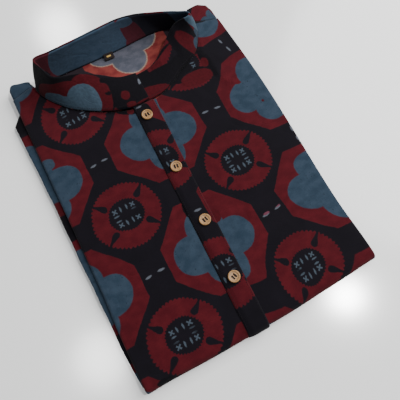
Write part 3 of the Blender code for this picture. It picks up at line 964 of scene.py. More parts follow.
def measured(rows):
    """The rows with one more column in front: the distance along the seam."""
    along, last, made = 0.0, Vector(rows[0][:2]), []
    for row in rows:
        along += (Vector(row[:2]) - last).length
        last = Vector(row[:2])
        made.append((along, *row))
    return made


BAND_TABLE = measured(COLLAR)
BAND_STATIONS = 240
BAND_ACROSS = 18


def band_line(at):
    """(seam, edge) of the band's middle at a distance along the seam."""
    seam_x, seam_y, seam_z, edge_x, edge_y, edge_z = (
        curve(BAND_TABLE, at, column) for column in range(1, 7)
    )
    seam = Vector((seam_x, seam_y, BAND_REST + seam_z))
    return seam, Vector((edge_x, edge_y, BAND_REST + edge_z))


def band_middle():
    """The band's middle surface: rows of (point, along, outward, up) from free edge to seam."""
    stops = spaced(0.0, BAND_TABLE[-1][0], BAND_STATIONS)
    lines = [band_line(at) for at in stops]
    grid = [[e.lerp(s, k / BAND_ACROSS) for k in range(BAND_ACROSS + 1)] for s, e in lines]
    rows, run = [], 0.0
    for j, (seam, edge) in enumerate(lines):
        if j:
            before = (lines[j - 1][0] + lines[j - 1][1]) / 2
            run += ((seam + edge) / 2 - before).length
        row = []
        for i, point in enumerate(grid[j]):
            along = grid[min(j + 1, BAND_STATIONS)][i] - grid[max(j - 1, 0)][i]
            up = (edge - seam).normalized()
            outward = along.cross(-up).normalized()
            height = (edge - seam).length * (1 - i / BAND_ACROSS)
            row.append((point, along.normalized(), outward, up, run, height))
        rows.append(row)
    return rows


def band_ripple(run, height):
    """The band isn't quite smooth: low bends along it, and two creases near the lap."""
    ripple = 0.28 * math.sin(run / 9.0) * math.sin(height / 13.0 + run / 40.0)
    ripple += 0.7 * math.exp(-(((run - 52.0 - height * 0.35) / 4.0) ** 2)) * between(0, 12, height)
    ripple -= 0.6 * math.exp(-(((run - 128.0 + height * 0.15) / 4.0) ** 2))
    ripple += 0.5 * math.exp(-(((run - 372.0 + height * 0.3) / 4.0) ** 2)) * between(0, 10, height)
    return ripple * between(-1.0, 6.0, height)


def band_on_cloth(run, height):
    """Where a place on the band's outer layer lies on flat cloth: an arc in it."""
    turn = (run - BAND_MIDDLE) / BAND_CURVE
    reach = BAND_CURVE - (height - 19.0)
    return reach * math.sin(turn), BAND_CURVE - reach * math.cos(turn)


def band_print(run, height, inner):
    """Where the print falls on the band. The outer layer is cut on a curve."""
    if inner:
        x, y = run - INNER_BAND_OCTAGON[0], height - INNER_BAND_OCTAGON[1]
        return x - REPEAT_X / 2, y - REPEAT_Y / 2
    x, y = band_on_cloth(run, height)
    flower = band_on_cloth(*BAND_FLOWER)
    octagon = band_on_cloth(*BAND_OCTAGON)
    share = between(octagon[0] + 47.0, flower[0] - 36.0, x)
    near_octagon = (x - octagon[0] - REPEAT_X / 2, y - octagon[1] - REPEAT_Y / 2)
    near_flower = (x - flower[0] + 2 * REPEAT_X, y - flower[1])
    return tuple(a + (b - a) * share for a, b in zip(near_octagon, near_flower))


def band_end(middle, end, step, row, extra):
    """Rows that round one end of a band layer over, from its last row towards the band's middle."""
    closing = []
    for angle in BAND_END_ANGLES:
        lean, reach = math.cos(math.radians(angle)), math.sin(math.radians(angle))
        turned = []
        for i, point in enumerate(row):
            centre, along, _, up = middle[end][min(max(i - extra, 0), BAND_ACROSS)][:4]
            if i < extra:
                centre = centre + up * (point - centre).dot(up)
            turned.append(centre + (point - centre) * lean - along * step * BAND_HALF * reach)
        closing.append(turned)
    return closing


def band_layer(middle, side, start_angle):
    """(rows, prints) of the band's outer layer (side 1) or its inner one (side -1)."""
    inner = side < 0
    rows, prints = [], []
    for cells in middle:
        row, print_row = [], []
        point, _, outward, up, run, top = cells[0]
        for angle in () if inner else spaced(start_angle, math.pi / 2, 6)[:-1]:
            row.append(point + BAND_HALF * (up * math.cos(angle) + outward * math.sin(angle)))
            print_row.append(band_print(run, top + BAND_HALF * (math.pi / 2 - angle), inner))
        extra = len(row)
        for i, (point, _, outward, up, run, height) in enumerate(cells):
            bow = BAND_BOW * math.sin(math.pi * i / BAND_ACROSS) + band_ripple(run, height)
            out = side * (BAND_HALF - 0.15 if inner and not i else BAND_HALF)
            row.append(point + outward * (out + bow))
            print_row.append(band_print(run, height, inner))
        point, _, outward, up, run, _ = cells[-1]
        row.append(point + outward * side * BAND_HALF * 0.45 - up * 0.35)
        print_row.append(band_print(run, -1.0, inner))
        rows.append(row)
        prints.append(print_row)
    closed = len(BAND_END_ANGLES)
    rows = (
        band_end(middle, 0, 1, rows[0], extra)[::-1]
        + rows
        + band_end(middle, -1, -1, rows[-1], extra)
    )
    prints = [prints[0]] * closed + prints + [prints[-1]] * closed
    if inner:
        rows = [row[::-1] for row in rows]
        prints = [row[::-1] for row in prints]
    return rows, prints


def build_collar(outer_finishes, inner_finishes):
    """The collar band: outer and inner layers joined by a turned free edge."""
    middle = band_middle()
    rows, prints = band_layer(middle, 1, BAND_TURN_START)
    outer = cloth("collar_outer_cloth", rows, prints, outer_finishes, wall=THIN_CLOTH)
    finished(
        outer, "collar_band_outer"
    )
    rows, prints = band_layer(middle, -1, 0.0)
    inner = cloth("collar_inner_cloth", rows, prints, inner_finishes, wall=THIN_CLOTH)
    finished(
        inner,
        "collar_band_inner",
    )
    return middle


# ---------------------------------------------------------------- finishes


class Amount:
    """A number on its way through a material, worked out by Math nodes."""

    def __init__(self, tree, socket):
        self.tree = tree
        self.socket = socket

    def math(self, operation, *others):
        node = self.tree.nodes.new("ShaderNodeMath")
        node.operation = operation
        for slot, term in zip(node.inputs, (self, *others)):
            if isinstance(term, Amount):
                self.tree.links.new(term.socket, slot)
            else:
                slot.default_value = term
        return Amount(self.tree, node.outputs[0])

    def __add__(self, other):
        return self.math("ADD", other)

    def __radd__(self, other):
        return self.math("ADD", other)

    def __sub__(self, other):
        return self.math("SUBTRACT", other)

    def __rsub__(self, other):
        return self.math("MULTIPLY_ADD", -1.0, other)

    def __mul__(self, other):
        return self.math("MULTIPLY", other)

    def __rmul__(self, other):
        return self.math("MULTIPLY", other)

    def __truediv__(self, other):
        return self.math("DIVIDE", other)

    def wrapped(self, period):
        """The distance from the nearest whole repeat, from minus to plus half a period."""
        return self.math("WRAP", period / 2, -period / 2)

    def size(self):
        return self.math("ABSOLUTE")

    def least(self, other):
        return self.math("MINIMUM", other)

    def most(self, other):
        return self.math("MAXIMUM", other)

    def step(self, low, high):
        """0 below low, 1 above high and smooth between."""
        node = self.tree.nodes.new("ShaderNodeMapRange")
        node.interpolation_type = "SMOOTHSTEP"
        self.tree.links.new(self.socket, node.inputs["Value"])
        node.inputs["From Min"].default_value = low
        node.inputs["From Max"].default_value = high
        return Amount(self.tree, node.outputs["Result"])

    def inside(self, soft=0.3):
        """1 where this distance is below nought."""
        return (self * -1.0).step(-soft, soft)


def distance(x, y):
    return (x * x + y * y).math("SQRT")


def oval(x, y, half_x, half_y, scale):
    """How far outside an oval mark a place is, roughly, in units of scale."""
    return (distance(x / half_x, y / half_y) - 1.0) * scale


def mixed(tree, share, first, second):
    """A colour between two, each an (r, g, b) or a socket."""
    node = tree.nodes.new("ShaderNodeMix")
    node.data_type = "RGBA"
    for slot, value in ((node.inputs[0], share), (node.inputs[6], first), (node.inputs[7], second)):
        if isinstance(value, Amount):
            tree.links.new(value.socket, slot)
        elif isinstance(value, (tuple, float)):
            slot.default_value = (*value, 1.0) if isinstance(value, tuple) else value
        else:
            tree.links.new(value, slot)
    return node.outputs[2]


def speckle(tree, vector, scale, detail=2.0, stretch=(1.0, 1.0, 1.0), turn=0.0, offset=0.0):
    """Noise along the cloth: (amount, colour socket). scale is in features per millimetre."""
    place = tree.nodes.new("ShaderNodeMapping")
    place.inputs["Scale"].default_value = stretch
    place.inputs["Rotation"].default_value = (0.0, 0.0, math.radians(turn))
    place.inputs["Location"].default_value = (offset, offset * 0.7, 0.0)
    tree.links.new(vector, place.inputs["Vector"])
    node = tree.nodes.new("ShaderNodeTexNoise")
    node.noise_dimensions = "2D"
    node.inputs["Scale"].default_value = scale
    node.inputs["Detail"].default_value = detail
    tree.links.new(place.outputs[0], node.inputs["Vector"])
    return Amount(tree, node.outputs["Fac"]), node.outputs["Color"]


# The print side's dyes, the tones that each large dye varies between, and those of the wrong side.
DYES = {
    "ground": (0.0028, 0.0022, 0.0038),
    "madder": (0.044, 0.0029, 0.0052),
    "indigo": (0.0225, 0.0360, 0.0545),
    "washed": (0.034, 0.054, 0.076),
    "slate": (0.045, 0.075, 0.105),
    "mark": (0.052, 0.070, 0.090),
    "pale": (0.078, 0.086, 0.104),
    "rose": (0.105, 0.030, 0.048),
}
TONES = {
    "ground": (DYES["ground"], (0.0052, 0.0040, 0.0066)),
    "madder": ((0.042, 0.0029, 0.0055), (0.058, 0.0045, 0.0075)),
    "indigo": ((0.0140, 0.0255, 0.0405), DYES["indigo"]),
}
INDIGO_SPOT = (0.008, 0.014, 0.022)
WRONG_TONES = {
    "ground": ((0.011, 0.008, 0.011), (0.022, 0.014, 0.018)),
    "madder": ((0.105, 0.014, 0.015), (0.170, 0.032, 0.027)),
    "indigo": ((0.047, 0.052, 0.068), (0.077, 0.078, 0.098)),
}
WRONG_OUTLINE = (0.250, 0.185, 0.135)
WRONG_MARK = (0.240, 0.215, 0.205)

# Painted fill light for a piece in shade, the inside of the collar band: how much lighter each of its dyes
# is painted, and a painted haze that lifts its darks.
PAINTED_FILL_GAIN = (1.6, 1.75, 1.8)
PAINTED_FILL_HAZE = (0.008, 0.009, 0.013)


def block_print():
    """The print as a node group: the cloth's position in repeats in, its two sides' colours out."""
    tree = bpy.data.node_groups.new("block print", "ShaderNodeTree")
    tree.interface.new_socket("Place", in_out="INPUT", socket_type="NodeSocketVector")
    tree.interface.new_socket("Print side", in_out="OUTPUT", socket_type="NodeSocketColor")
    tree.interface.new_socket("Wrong side", in_out="OUTPUT", socket_type="NodeSocketColor")
    entry = tree.nodes.new("NodeGroupInput")
    exit_node = tree.nodes.new("NodeGroupOutput")
    scaled = tree.nodes.new("ShaderNodeVectorMath")
    scaled.operation = "SCALE"
    scaled.inputs["Scale"].default_value = REPEAT_X
    tree.links.new(entry.outputs[0], scaled.inputs[0])
    place = scaled.outputs[0]

    # Hand blocks never register quite true: the whole print wanders a little, and its edges more.
    split = tree.nodes.new("ShaderNodeSeparateXYZ")
    tree.links.new(place, split.inputs[0])
    x, y = Amount(tree, split.outputs[0]), Amount(tree, split.outputs[1])
    for scale, reach, detail, offset in PRINT_WANDER:
        _, colour = speckle(tree, place, scale, detail, offset=offset)
        parts = tree.nodes.new("ShaderNodeSeparateColor")
        tree.links.new(colour, parts.inputs[0])
        x = x + (Amount(tree, parts.outputs[0]) - 0.5) * reach
        y = y + (Amount(tree, parts.outputs[1]) - 0.5) * reach

    flower_x, flower_y = x.wrapped(REPEAT_X).size(), y.wrapped(REPEAT_Y).size()
    from_x = (x - REPEAT_X / 2).wrapped(REPEAT_X)
    from_y = (y - REPEAT_Y / 2).wrapped(REPEAT_Y)
    octagon_x, octagon_y = from_x.size(), from_y.size()

    # Octagon, and the four lobes inside it, whose block was laid a little off true.
    octagon = (octagon_x - OCTAGON_HALF[0]).most(octagon_y - OCTAGON_HALF[1])
    corner_x, corner_y, corner_out = OCTAGON_CORNER
    octagon = octagon.most(octagon_x * corner_x + octagon_y * corner_y - corner_out)
    slip_x = (x * 0.0091 - y * 0.0274 + 0.18).math("SINE") * 2.6 + 0.8
    slip_y = (x * -0.0287 + y * 0.0129 - 0.44).math("SINE") * 2.4 - 1.5
    for centre_x, centre_y, more_x, more_y in LOBE_SLIPS:
        here = (distance(x - centre_x, y - centre_y) - REPEAT_X / 2).inside(0.5)
        slip_x, slip_y = slip_x + here * more_x, slip_y + here * more_y
    lobe_x, lobe_y = (from_x - slip_x).size(), (from_y - slip_y).size()
    across, upward = distance(lobe_x - LOBE_OUT[0], lobe_y), distance(lobe_x, lobe_y - LOBE_OUT[1])
    lobes = across.least(upward) - LOBE_RADIUS
    lobes = lobes.least(distance(lobe_x, lobe_y) - LOBES_MIDDLE_RADIUS)

    # Flower: a scalloped ring cut by four notches, round a dark heart with its small marks.
    radius = distance(flower_x, flower_y * FLOWER_SQUASH)
    angle = flower_y.math("ARCTAN2", flower_x)
    scallop = (angle * (SCALLOPS / 2)).math("SINE").size()
    ring = radius - scallop * SCALLOP_DEPTH - FLOWER_RADIUS
    nick = (angle * (HEART_NICKS / 2)).math("SINE").size()
    heart = distance(flower_x, flower_y * HEART_SQUASH) + nick * HEART_NICK_DEPTH - HEART_RADIUS
    (notch_x, notch_y), (way_x, way_y) = NOTCH_START, NOTCH_WAY
    along = (flower_x - notch_x) * way_x + (flower_y - notch_y) * way_y
    along = along.most(0.0).least(NOTCH_LENGTH)
    notch = distance(flower_x - notch_x - along * way_x, flower_y - notch_y - along * way_y)
    notch = notch - NOTCH_NECK - (along * along * NOTCH_TAPER).math("EXPONENT") * NOTCH_BULB
    petals = ring.most(heart * -1.0).most(notch * -1.0)

    star_x, star_y = flower_x - STAR_PLACE[0], flower_y - STAR_PLACE[1]
    slant, counter = (star_x + star_y) * 0.707, (star_x - star_y) * 0.707
    stars = (slant.size() - STAR_REACH).most(counter.size() - STAR_HALF_WIDTH)
    stars = stars.least((counter.size() - STAR_REACH).most(slant.size() - STAR_HALF_WIDTH))
    upright = oval(flower_x - UPRIGHT_PLACE[0], flower_y - UPRIGHT_PLACE[1], *UPRIGHT_HALF, 0.9)
    level = oval(flower_x - LEVEL_PLACE[0], flower_y - LEVEL_PLACE[1], *LEVEL_HALF, 0.9)
    leaf_long, leaf_wide = LEAF_HALF
    leaf = oval(flower_x - LEAF_OUT, octagon_y, leaf_long, leaf_wide, leaf_wide)
    leaf = leaf.least(oval(octagon_x, flower_y - LEAF_OUT, leaf_wide, leaf_long, leaf_wide))

    fine, _ = speckle(tree, place, 2.2, 2.0, offset=11.0)
    patch, _ = speckle(tree, place, 0.045, 3.0, offset=23.0)
    streak, _ = speckle(tree, place, 0.075, 5.0, (1.0, 1.4, 1.0), 30.0, 5.0)
    grain, _ = speckle(tree, place, 0.8, 3.0, (1.0, 1.3, 1.0), 0.0, 71.0)
    spots, _ = speckle(tree, place, 0.30, 1.0, offset=133.0)
    presence = patch.step(0.36, 0.60)

    is_octagon = octagon.inside(0.35)
    is_lobes = lobes.inside(0.55)
    is_petals = petals.inside(0.35)
    is_mark = stars.inside(0.35).most(upright.inside(0.3)) * (0.35 + fine * 0.7)
    is_mark = is_mark.most(level.inside(0.3) * presence * 0.7)
    is_leaf = leaf.inside(0.35) * (0.35 + fine * 0.9)

    shade = 0.50 + grain
    ground = mixed(tree, patch, *TONES["ground"])
    madder = mixed(tree, streak.step(0.25, 0.8), *TONES["madder"])
    indigo = mixed(tree, streak.step(0.25, 0.72), *TONES["indigo"])
    spotted = spots.step(0.70, 0.78) * patch.step(0.42, 0.60) * 0.7
    indigo = mixed(tree, spotted, indigo, INDIGO_SPOT)
    print_side = mixed(tree, is_octagon, ground, madder)
    print_side = mixed(tree, is_lobes, print_side, indigo)
    print_side = mixed(tree, is_petals, print_side, madder)
    print_side = mixed(tree, is_mark, print_side, DYES["mark"])
    print_side = mixed(tree, is_leaf, print_side, DYES["pale"])
    tone = tree.nodes.new("ShaderNodeMix")
    tone.data_type, tone.blend_type = "RGBA", "MULTIPLY"
    tone.inputs[0].default_value = 0.38
    level_colour = tree.nodes.new("ShaderNodeCombineColor")
    for slot in level_colour.inputs:
        tree.links.new(shade.socket, slot)
    tree.links.new(print_side, tone.inputs[6])
    tree.links.new(level_colour.outputs[0], tone.inputs[7])
    tree.links.new(tone.outputs[2], exit_node.inputs[0])

    # Less of the dye comes through, and the resist leaves a pale line round the lobes.
    outline = (lobes.size() - 0.8).inside(0.6) * (0.3 + grain.step(0.36, 0.62) * 0.6)
    back_ground = mixed(tree, patch, *WRONG_TONES["ground"])
    back_madder = mixed(tree, streak.step(0.3, 0.7), *WRONG_TONES["madder"])
    back_indigo = mixed(tree, streak.step(0.3, 0.7), *WRONG_TONES["indigo"])
    wrong = mixed(tree, is_octagon, back_ground, back_madder)
    wrong = mixed(tree, is_lobes, wrong, back_indigo)
    wrong = mixed(tree, outline * is_octagon, wrong, WRONG_OUTLINE)
    wrong = mixed(tree, is_petals, wrong, back_madder)
    wrong = mixed(tree, is_mark.most(is_leaf), wrong, WRONG_MARK)
    tree.links.new(wrong, exit_node.inputs[1])
    return tree


def weave_bump(tree, place, shader, strength):
    """A plain weave with slubs, felt only as a slight roughness of the surface."""
    split = tree.nodes.new("ShaderNodeSeparateXYZ")
    tree.links.new(place, split.inputs[0])
    x, y = Amount(tree, split.outputs[0]), Amount(tree, split.outputs[1])
    threads = REPEAT_X * 2 * math.pi / 0.55
    over = (x * threads).math("SINE") * (y * threads).math("SINE")
    slubs, _ = speckle(tree, place, REPEAT_X * 1.1, 3.0, (1.0, 6.0, 1.0))
    crumple, _ = speckle(tree, place, REPEAT_X * 0.09, 4.0)
    # Fine pressed lines, only here and there.
    pressed, _ = speckle(tree, place, REPEAT_X * 0.024, 1.5, (1.0, 2.4, 1.0), 57.0, 17.0)
    where, _ = speckle(tree, place, REPEAT_X * 0.016, 1.0, offset=61.0)
    lines = (1.0 - (pressed - 0.5).size().step(0.0, 0.05)) * where.step(0.46, 0.58)
    height = over * 0.05 + slubs * 0.2 + crumple * 0.45 - lines * 0.45
    bump = tree.nodes.new("ShaderNodeBump")
    bump.inputs["Strength"].default_value = strength
    bump.inputs["Distance"].default_value = 0.0011
    tree.links.new(height.socket, bump.inputs["Height"])
    tree.links.new(bump.outputs[0], shader.inputs["Normal"])


def new_material(name):
    made = bpy.data.materials.new(name)
    made.use_nodes = True
    return made, made.node_tree, made.node_tree.nodes["Principled BSDF"]


def blotted(tree, place, colour, flower, blots):
    """Lays the strays of dye over the print, and two thin stripes of painted shadow, each a ragged patch
    with soft corners.
    """
    split = tree.nodes.new("ShaderNodeSeparateXYZ")
    tree.links.new(place, split.inputs[0])
    x = Amount(tree, split.outputs[0]) * REPEAT_X + flower[0]
    y = Amount(tree, split.outputs[1]) * REPEAT_X + flower[1]
    ragged, _ = speckle(tree, place, REPEAT_X * 0.35, 3.0)
    for centre_x, centre_y, half_x, half_y, turn, dye in blots:
        cos, sin = math.cos(math.radians(turn)), math.sin(math.radians(turn))
        across = ((x - centre_x) * cos + (y - centre_y) * sin) / half_x
        up = ((y - centre_y) * cos - (x - centre_x) * sin) / half_y
        around = across.size().math("POWER", BLOT_SQUARENESS) + up.size().math("POWER", BLOT_SQUARENESS)
        gap = (around.math("POWER", 1 / BLOT_SQUARENESS) - 1.0) * min(half_x, half_y)
        strong, weak = DYES[dye], tuple(0.8 * value for value in DYES[dye])
        dye_and_painted_shadow = mixed(tree, ragged.step(0.3, 0.7), weak, strong)
        colour = mixed(tree, (gap + (ragged - 0.5) * 1.3).inside(0.4), colour, dye_and_painted_shadow)
    return colour


def cloth_finish(name, group, side, flower=(0.0, 0.0), blots=(), tucked=False, washed=False):
    """Printed cotton, seen from its print side or its wrong side. With painted fill light, its colour is
    painted lighter and hazed, standing in for light that doesn't reach it.
    """
    made, tree, shader = new_material(name)
    shader.inputs["Roughness"].default_value = 0.92
    shader.inputs["Specular IOR Level"].default_value = 0.09
    shader.inputs["Sheen Weight"].default_value = 0.035
    shader.inputs["Sheen Roughness"].default_value = 0.5
    uv = tree.nodes.new("ShaderNodeUVMap")
    uv.uv_map = "print"
    place = tucked_place(tree, uv.outputs[0]) if tucked else uv.outputs[0]
    printed = tree.nodes.new("ShaderNodeGroup")
    printed.node_tree = group
    tree.links.new(place, printed.inputs[0])
    colour = blotted(tree, uv.outputs[0], printed.outputs[side], flower, blots)
    # Painted fill light: the colour is painted lighter, with a painted haze over its darks.
    if washed:
        painted_fill = tree.nodes.new("ShaderNodeVectorMath")
        painted_fill.operation = "MULTIPLY_ADD"
        painted_fill.inputs[1].default_value = PAINTED_FILL_GAIN
        painted_fill.inputs[2].default_value = PAINTED_FILL_HAZE
        tree.links.new(colour, painted_fill.inputs[0])
        colour = painted_fill.outputs[0]
    tree.links.new(colour, shader.inputs["Base Color"])
    weave_bump(tree, uv.outputs[0], shader, 0.35)
    return made


def tuck_line(tree, y):
    """The tuck's edge as x for each y, worked out by one node."""
    low, high = TUCK[0][0], TUCK[-1][0]
    least, most = min(row[1] for row in TUCK), max(row[1] for row in TUCK)
    node = tree.nodes.new("ShaderNodeFloatCurve")
    line = node.mapping.curves[0]
    for number, (row_y, row_x) in enumerate(TUCK):
        place = (row_y - low) / (high - low), (row_x - least) / (most - least)
        if 0 < number < len(TUCK) - 1:
            line.points.new(*place)
        else:
            line.points[0 if number == 0 else len(line.points) - 1].location = place
    for point in line.points:
        point.handle_type = "VECTOR"
    node.mapping.update()
    tree.links.new(((y - low) / (high - low)).socket, node.inputs["Value"])
    return Amount(tree, node.outputs[0]) * (most - least) + least


def tucked_place(tree, place):
    """Above the tuck the cloth has been turned a little, so its print is too."""
    split = tree.nodes.new("ShaderNodeSeparateXYZ")
    tree.links.new(place, split.inputs[0])
    x = Amount(tree, split.outputs[0]) * REPEAT_X + FRONT_FLOWER[0]
    y = Amount(tree, split.outputs[1]) * REPEAT_X + FRONT_FLOWER[1]
    pivot_y, pivot_x = TUCK[0]
    above = (x - tuck_line(tree, y)).math("GREATER_THAN", 0.0) * y.math("GREATER_THAN", pivot_y)
    cos, sin = math.cos(math.radians(TUCK_TURN)), math.sin(math.radians(TUCK_TURN))
    far_x, far_y = x - pivot_x - TUCK_SLIP[0], y - pivot_y - TUCK_SLIP[1]
    turned_x = far_x * cos + far_y * sin + pivot_x
    turned_y = far_y * cos - far_x * sin + pivot_y
    joined = tree.nodes.new("ShaderNodeCombineXYZ")
    for slot, straight, turned, flower in (
        (0, x, turned_x, FRONT_FLOWER[0]),
        (1, y, turned_y, FRONT_FLOWER[1]),
    ):
        chosen = straight + (turned - straight) * above
        tree.links.new(((chosen - flower) / REPEAT_X).socket, joined.inputs[slot])
    return joined.outputs[0]


def on_band(blots, inner):
    """Blots along the band, as places in its print."""
    return [
        (
            *band_print(along, height, inner),
            half_x,
            half_y,
            turn + (0.0 if inner else math.degrees((along - BAND_MIDDLE) / BAND_CURVE)),
            dye,
        )
        for along, height, half_x, half_y, turn, dye in blots
    ]


def wood_finish():
    """Pale turned wood with fine grain across each button."""
    made, tree, shader = new_material("turned_light_wood")
    shader.inputs["Roughness"].default_value = 0.42
    where = tree.nodes.new("ShaderNodeTexCoord").outputs["Object"]
    grain, _ = speckle(tree, where, 420.0, 4.0, (1.0, 9.0, 1.0), 12.0)
    pores, _ = speckle(tree, where, 1500.0, 2.0, (1.0, 4.0, 1.0), 12.0, 3.0)
    tan = mixed(tree, grain.step(0.35, 0.7), (0.200, 0.098, 0.028), (0.310, 0.166, 0.054))
    tan = mixed(tree, pores.step(0.58, 0.72), tan, (0.150, 0.072, 0.026))
    tree.links.new(tan, shader.inputs["Base Color"])
    bump = tree.nodes.new("ShaderNodeBump")
    bump.inputs["Strength"].default_value = 0.2
    bump.inputs["Distance"].default_value = 0.0004
    tree.links.new(grain.socket, bump.inputs["Height"])
    tree.links.new(bump.outputs[0], shader.inputs["Normal"])
    return made


def thread_finish(name, colour):
    """Twisted sewing thread."""
    made, tree, shader = new_material(name)
    shader.inputs["Roughness"].default_value = 0.85
    shader.inputs["Specular IOR Level"].default_value = 0.2
    where = tree.nodes.new("ShaderNodeTexCoord").outputs["Object"]
    fibre, _ = speckle(tree, where, 1800.0, 2.0)
    dark = tuple(0.6 * c for c in colour)
    tree.links.new(mixed(tree, fibre.step(0.3, 0.7), dark, colour), shader.inputs["Base Color"])
    return made


def label_finish():
    """Dark woven tape with a plain gold line along it."""
    made, tree, shader = new_material("woven_label_tape")
    shader.inputs["Roughness"].default_value = 0.85
    shader.inputs["Specular IOR Level"].default_value = 0.1
    uv = tree.nodes.new("ShaderNodeUVMap")
    uv.uv_map = "print"
    split = tree.nodes.new("ShaderNodeSeparateXYZ")
    tree.links.new(uv.outputs[0], split.inputs[0])
    x = Amount(tree, split.outputs[0]) * REPEAT_X
    y = Amount(tree, split.outputs[1]) * REPEAT_X
    ribs = (y * 9.0).math("SINE").step(-1.0, 1.0)
    tape = mixed(tree, ribs, (0.010, 0.008, 0.008), (0.022, 0.016, 0.015))
    line = ((y - 3.2).size() - 0.75).inside(0.15) * (x.size() - 2.6).inside(0.2)
    tree.links.new(mixed(tree, line, tape, (0.420, 0.270, 0.080)), shader.inputs["Base Color"])
    return made


# ---------------------------------------------------------------- buttons, label and sewing


def build_button(number, x, y, turn, wood):
    """A turned button: dished face, round rim, four drilled holes."""
    profile = [(0.0, BUTTON_FACE), (BUTTON_RADIUS - 2.5, BUTTON_FACE)]
    profile += [(BUTTON_RADIUS - 2.1, BUTTON_FACE + 0.08), (BUTTON_RADIUS - 1.75, BUTTON_EDGE - 0.2)]
    for angle in spaced(math.radians(130), 0.0, 7):
        radius = BUTTON_RADIUS - 0.85 + 0.85 * math.cos(angle)
        profile.append((radius, BUTTON_EDGE - 0.85 + 0.85 * math.sin(angle)))
    profile += [(BUTTON_RADIUS, 0.9), (BUTTON_RADIUS - 0.25, 0.4), (BUTTON_RADIUS - 0.9, 0.05), (0.0, 0.0)]
    mesh = bpy.data.meshes.new(f"button_blank_{number}")
    edges = [(k, k + 1) for k in range(len(profile) - 1)]
    mesh.from_pydata([(r * MM, 0.0, z * MM) for r, z in profile], edges, [])
    blank = placed(mesh.name, mesh)
    lathe = blank.modifiers.new("turned", "SCREW")
    lathe.steps = lathe.render_steps = 56
    lathe.use_merge_vertices = True
    lathe.merge_threshold = 0.00002
    for side_x in (-1, 1):
        for side_y in (-1, 1):
            bpy.ops.mesh.primitive_cylinder_add(
                vertices=20,
                radius=BUTTON_HOLE_RADIUS * MM,
                depth=0.02,
                location=(side_x * BUTTON_HOLE_SPREAD * MM, side_y * BUTTON_HOLE_SPREAD * MM, 0.0),
            )
            drill = bpy.context.object
            hole = blank.modifiers.new("hole", "BOOLEAN")
            hole.object, hole.solver = drill, "EXACT"
    graph = bpy.context.evaluated_depsgraph_get()
    made_mesh = bpy.data.meshes.new_from_object(blank.evaluated_get(graph))
    for leftover in [m.object for m in blank.modifiers if m.type == "BOOLEAN"] + [blank]:
        bpy.data.objects.remove(leftover)
    height = STACK + 2 * PLACKET_LAYER + BUTTON_SEAT
    made_mesh.transform(
        Matrix.Translation(world(settled((x, y, height))))
        @ Matrix.Rotation(math.radians(turn), 4, "Z")
    )
    made_mesh.materials.clear()
    made_mesh.materials.append(wood)
    made_mesh.shade_smooth()
    made_mesh.set_sharp_from_angle(angle=math.radians(35))
    finished(placed(f"button_{number}_wood", made_mesh), f"button_{number}")


def stitch_tree(finish):
    """Stitches along a curve, as a Geometry Nodes tree with named sizes."""
    tree = bpy.data.node_groups.new("stitch line", "GeometryNodeTree")
    tree.interface.new_socket("Geometry", in_out="INPUT", socket_type="NodeSocketGeometry")
    for name in ("Stitch pitch", "Stitch length", "Thread width"):
        tree.interface.new_socket(name, in_out="INPUT", socket_type="NodeSocketFloat")
    tree.interface.new_socket("Geometry", in_out="OUTPUT", socket_type="NodeSocketGeometry")
    nodes, link = tree.nodes, tree.links.new
    entry, leave = nodes.new("NodeGroupInput"), nodes.new("NodeGroupOutput")
    points = nodes.new("GeometryNodeCurveToPoints")
    points.mode = "LENGTH"
    link(entry.outputs[0], points.inputs["Curve"])
    link(entry.outputs["Stitch pitch"], points.inputs["Length"])
    bead = nodes.new("GeometryNodeMeshIcoSphere")
    bead.inputs["Radius"].default_value = 0.5
    bead.inputs["Subdivisions"].default_value = 2
    size = nodes.new("ShaderNodeCombineXYZ")
    link(entry.outputs["Thread width"], size.inputs[0])
    link(entry.outputs["Thread width"], size.inputs[1])
    link(entry.outputs["Stitch length"], size.inputs[2])
    laid = nodes.new("GeometryNodeInstanceOnPoints")
    link(points.outputs["Points"], laid.inputs["Points"])
    link(points.outputs["Rotation"], laid.inputs["Rotation"])
    link(bead.outputs["Mesh"], laid.inputs["Instance"])
    link(size.outputs[0], laid.inputs["Scale"])
    real = nodes.new("GeometryNodeRealizeInstances")
    link(laid.outputs[0], real.inputs[0])
    dressed = nodes.new("GeometryNodeSetMaterial")
    dressed.inputs["Material"].default_value = finish
    link(real.outputs[0], dressed.inputs["Geometry"])
    link(dressed.outputs[0], leave.inputs[0])
    return tree


def sew(name, lines, finish, pitch=2.6, length=1.9, width=0.36):
    """Runs stitches along lines of points in mm, and leaves one plain mesh."""
    guide = guide_along(name, lines)
    tree = stitch_tree(finish)
    stitches = guide.modifiers.new("stitches", "NODES")
    stitches.node_group = tree
    sizes = {"Stitch pitch": pitch * MM, "Stitch length": length * MM, "Thread width": width * MM}
    for item in tree.interface.items_tree:
        if item.in_out == "INPUT" and item.name in sizes:
            stitches[item.identifier] = sizes[item.name]
    finished(as_mesh(name, guide), None)


def placket_line(edges, inset, lift_at):
    """A line along a placket edge, on its surface."""
    line = []
    for y in spaced(PLACKET_TOP_Y - 1.5, FOLD_REACH, 120):
        x = curve(edges, y, 1) + inset if inset > 0 else curve(edges, y, 2) + inset
        line.append(creased((x, y, STACK + lift_at(x, y, STACK) + 0.08)))
    return line


def band_stitch_line(middle, up_from_seam, first, last):
    """A line along the band's outer face, a little above its seam."""
    line = []
    for cells in middle[first:last]:
        point, _, outward, up, run, _ = cells[-1]
        share = up_from_seam / (cells[0][0] - point).length
        bow = BAND_BOW * math.sin(math.pi * share) + band_ripple(run, up_from_seam)
        line.append(point + up * up_from_seam + outward * (BAND_HALF + bow + 0.08))
    return line


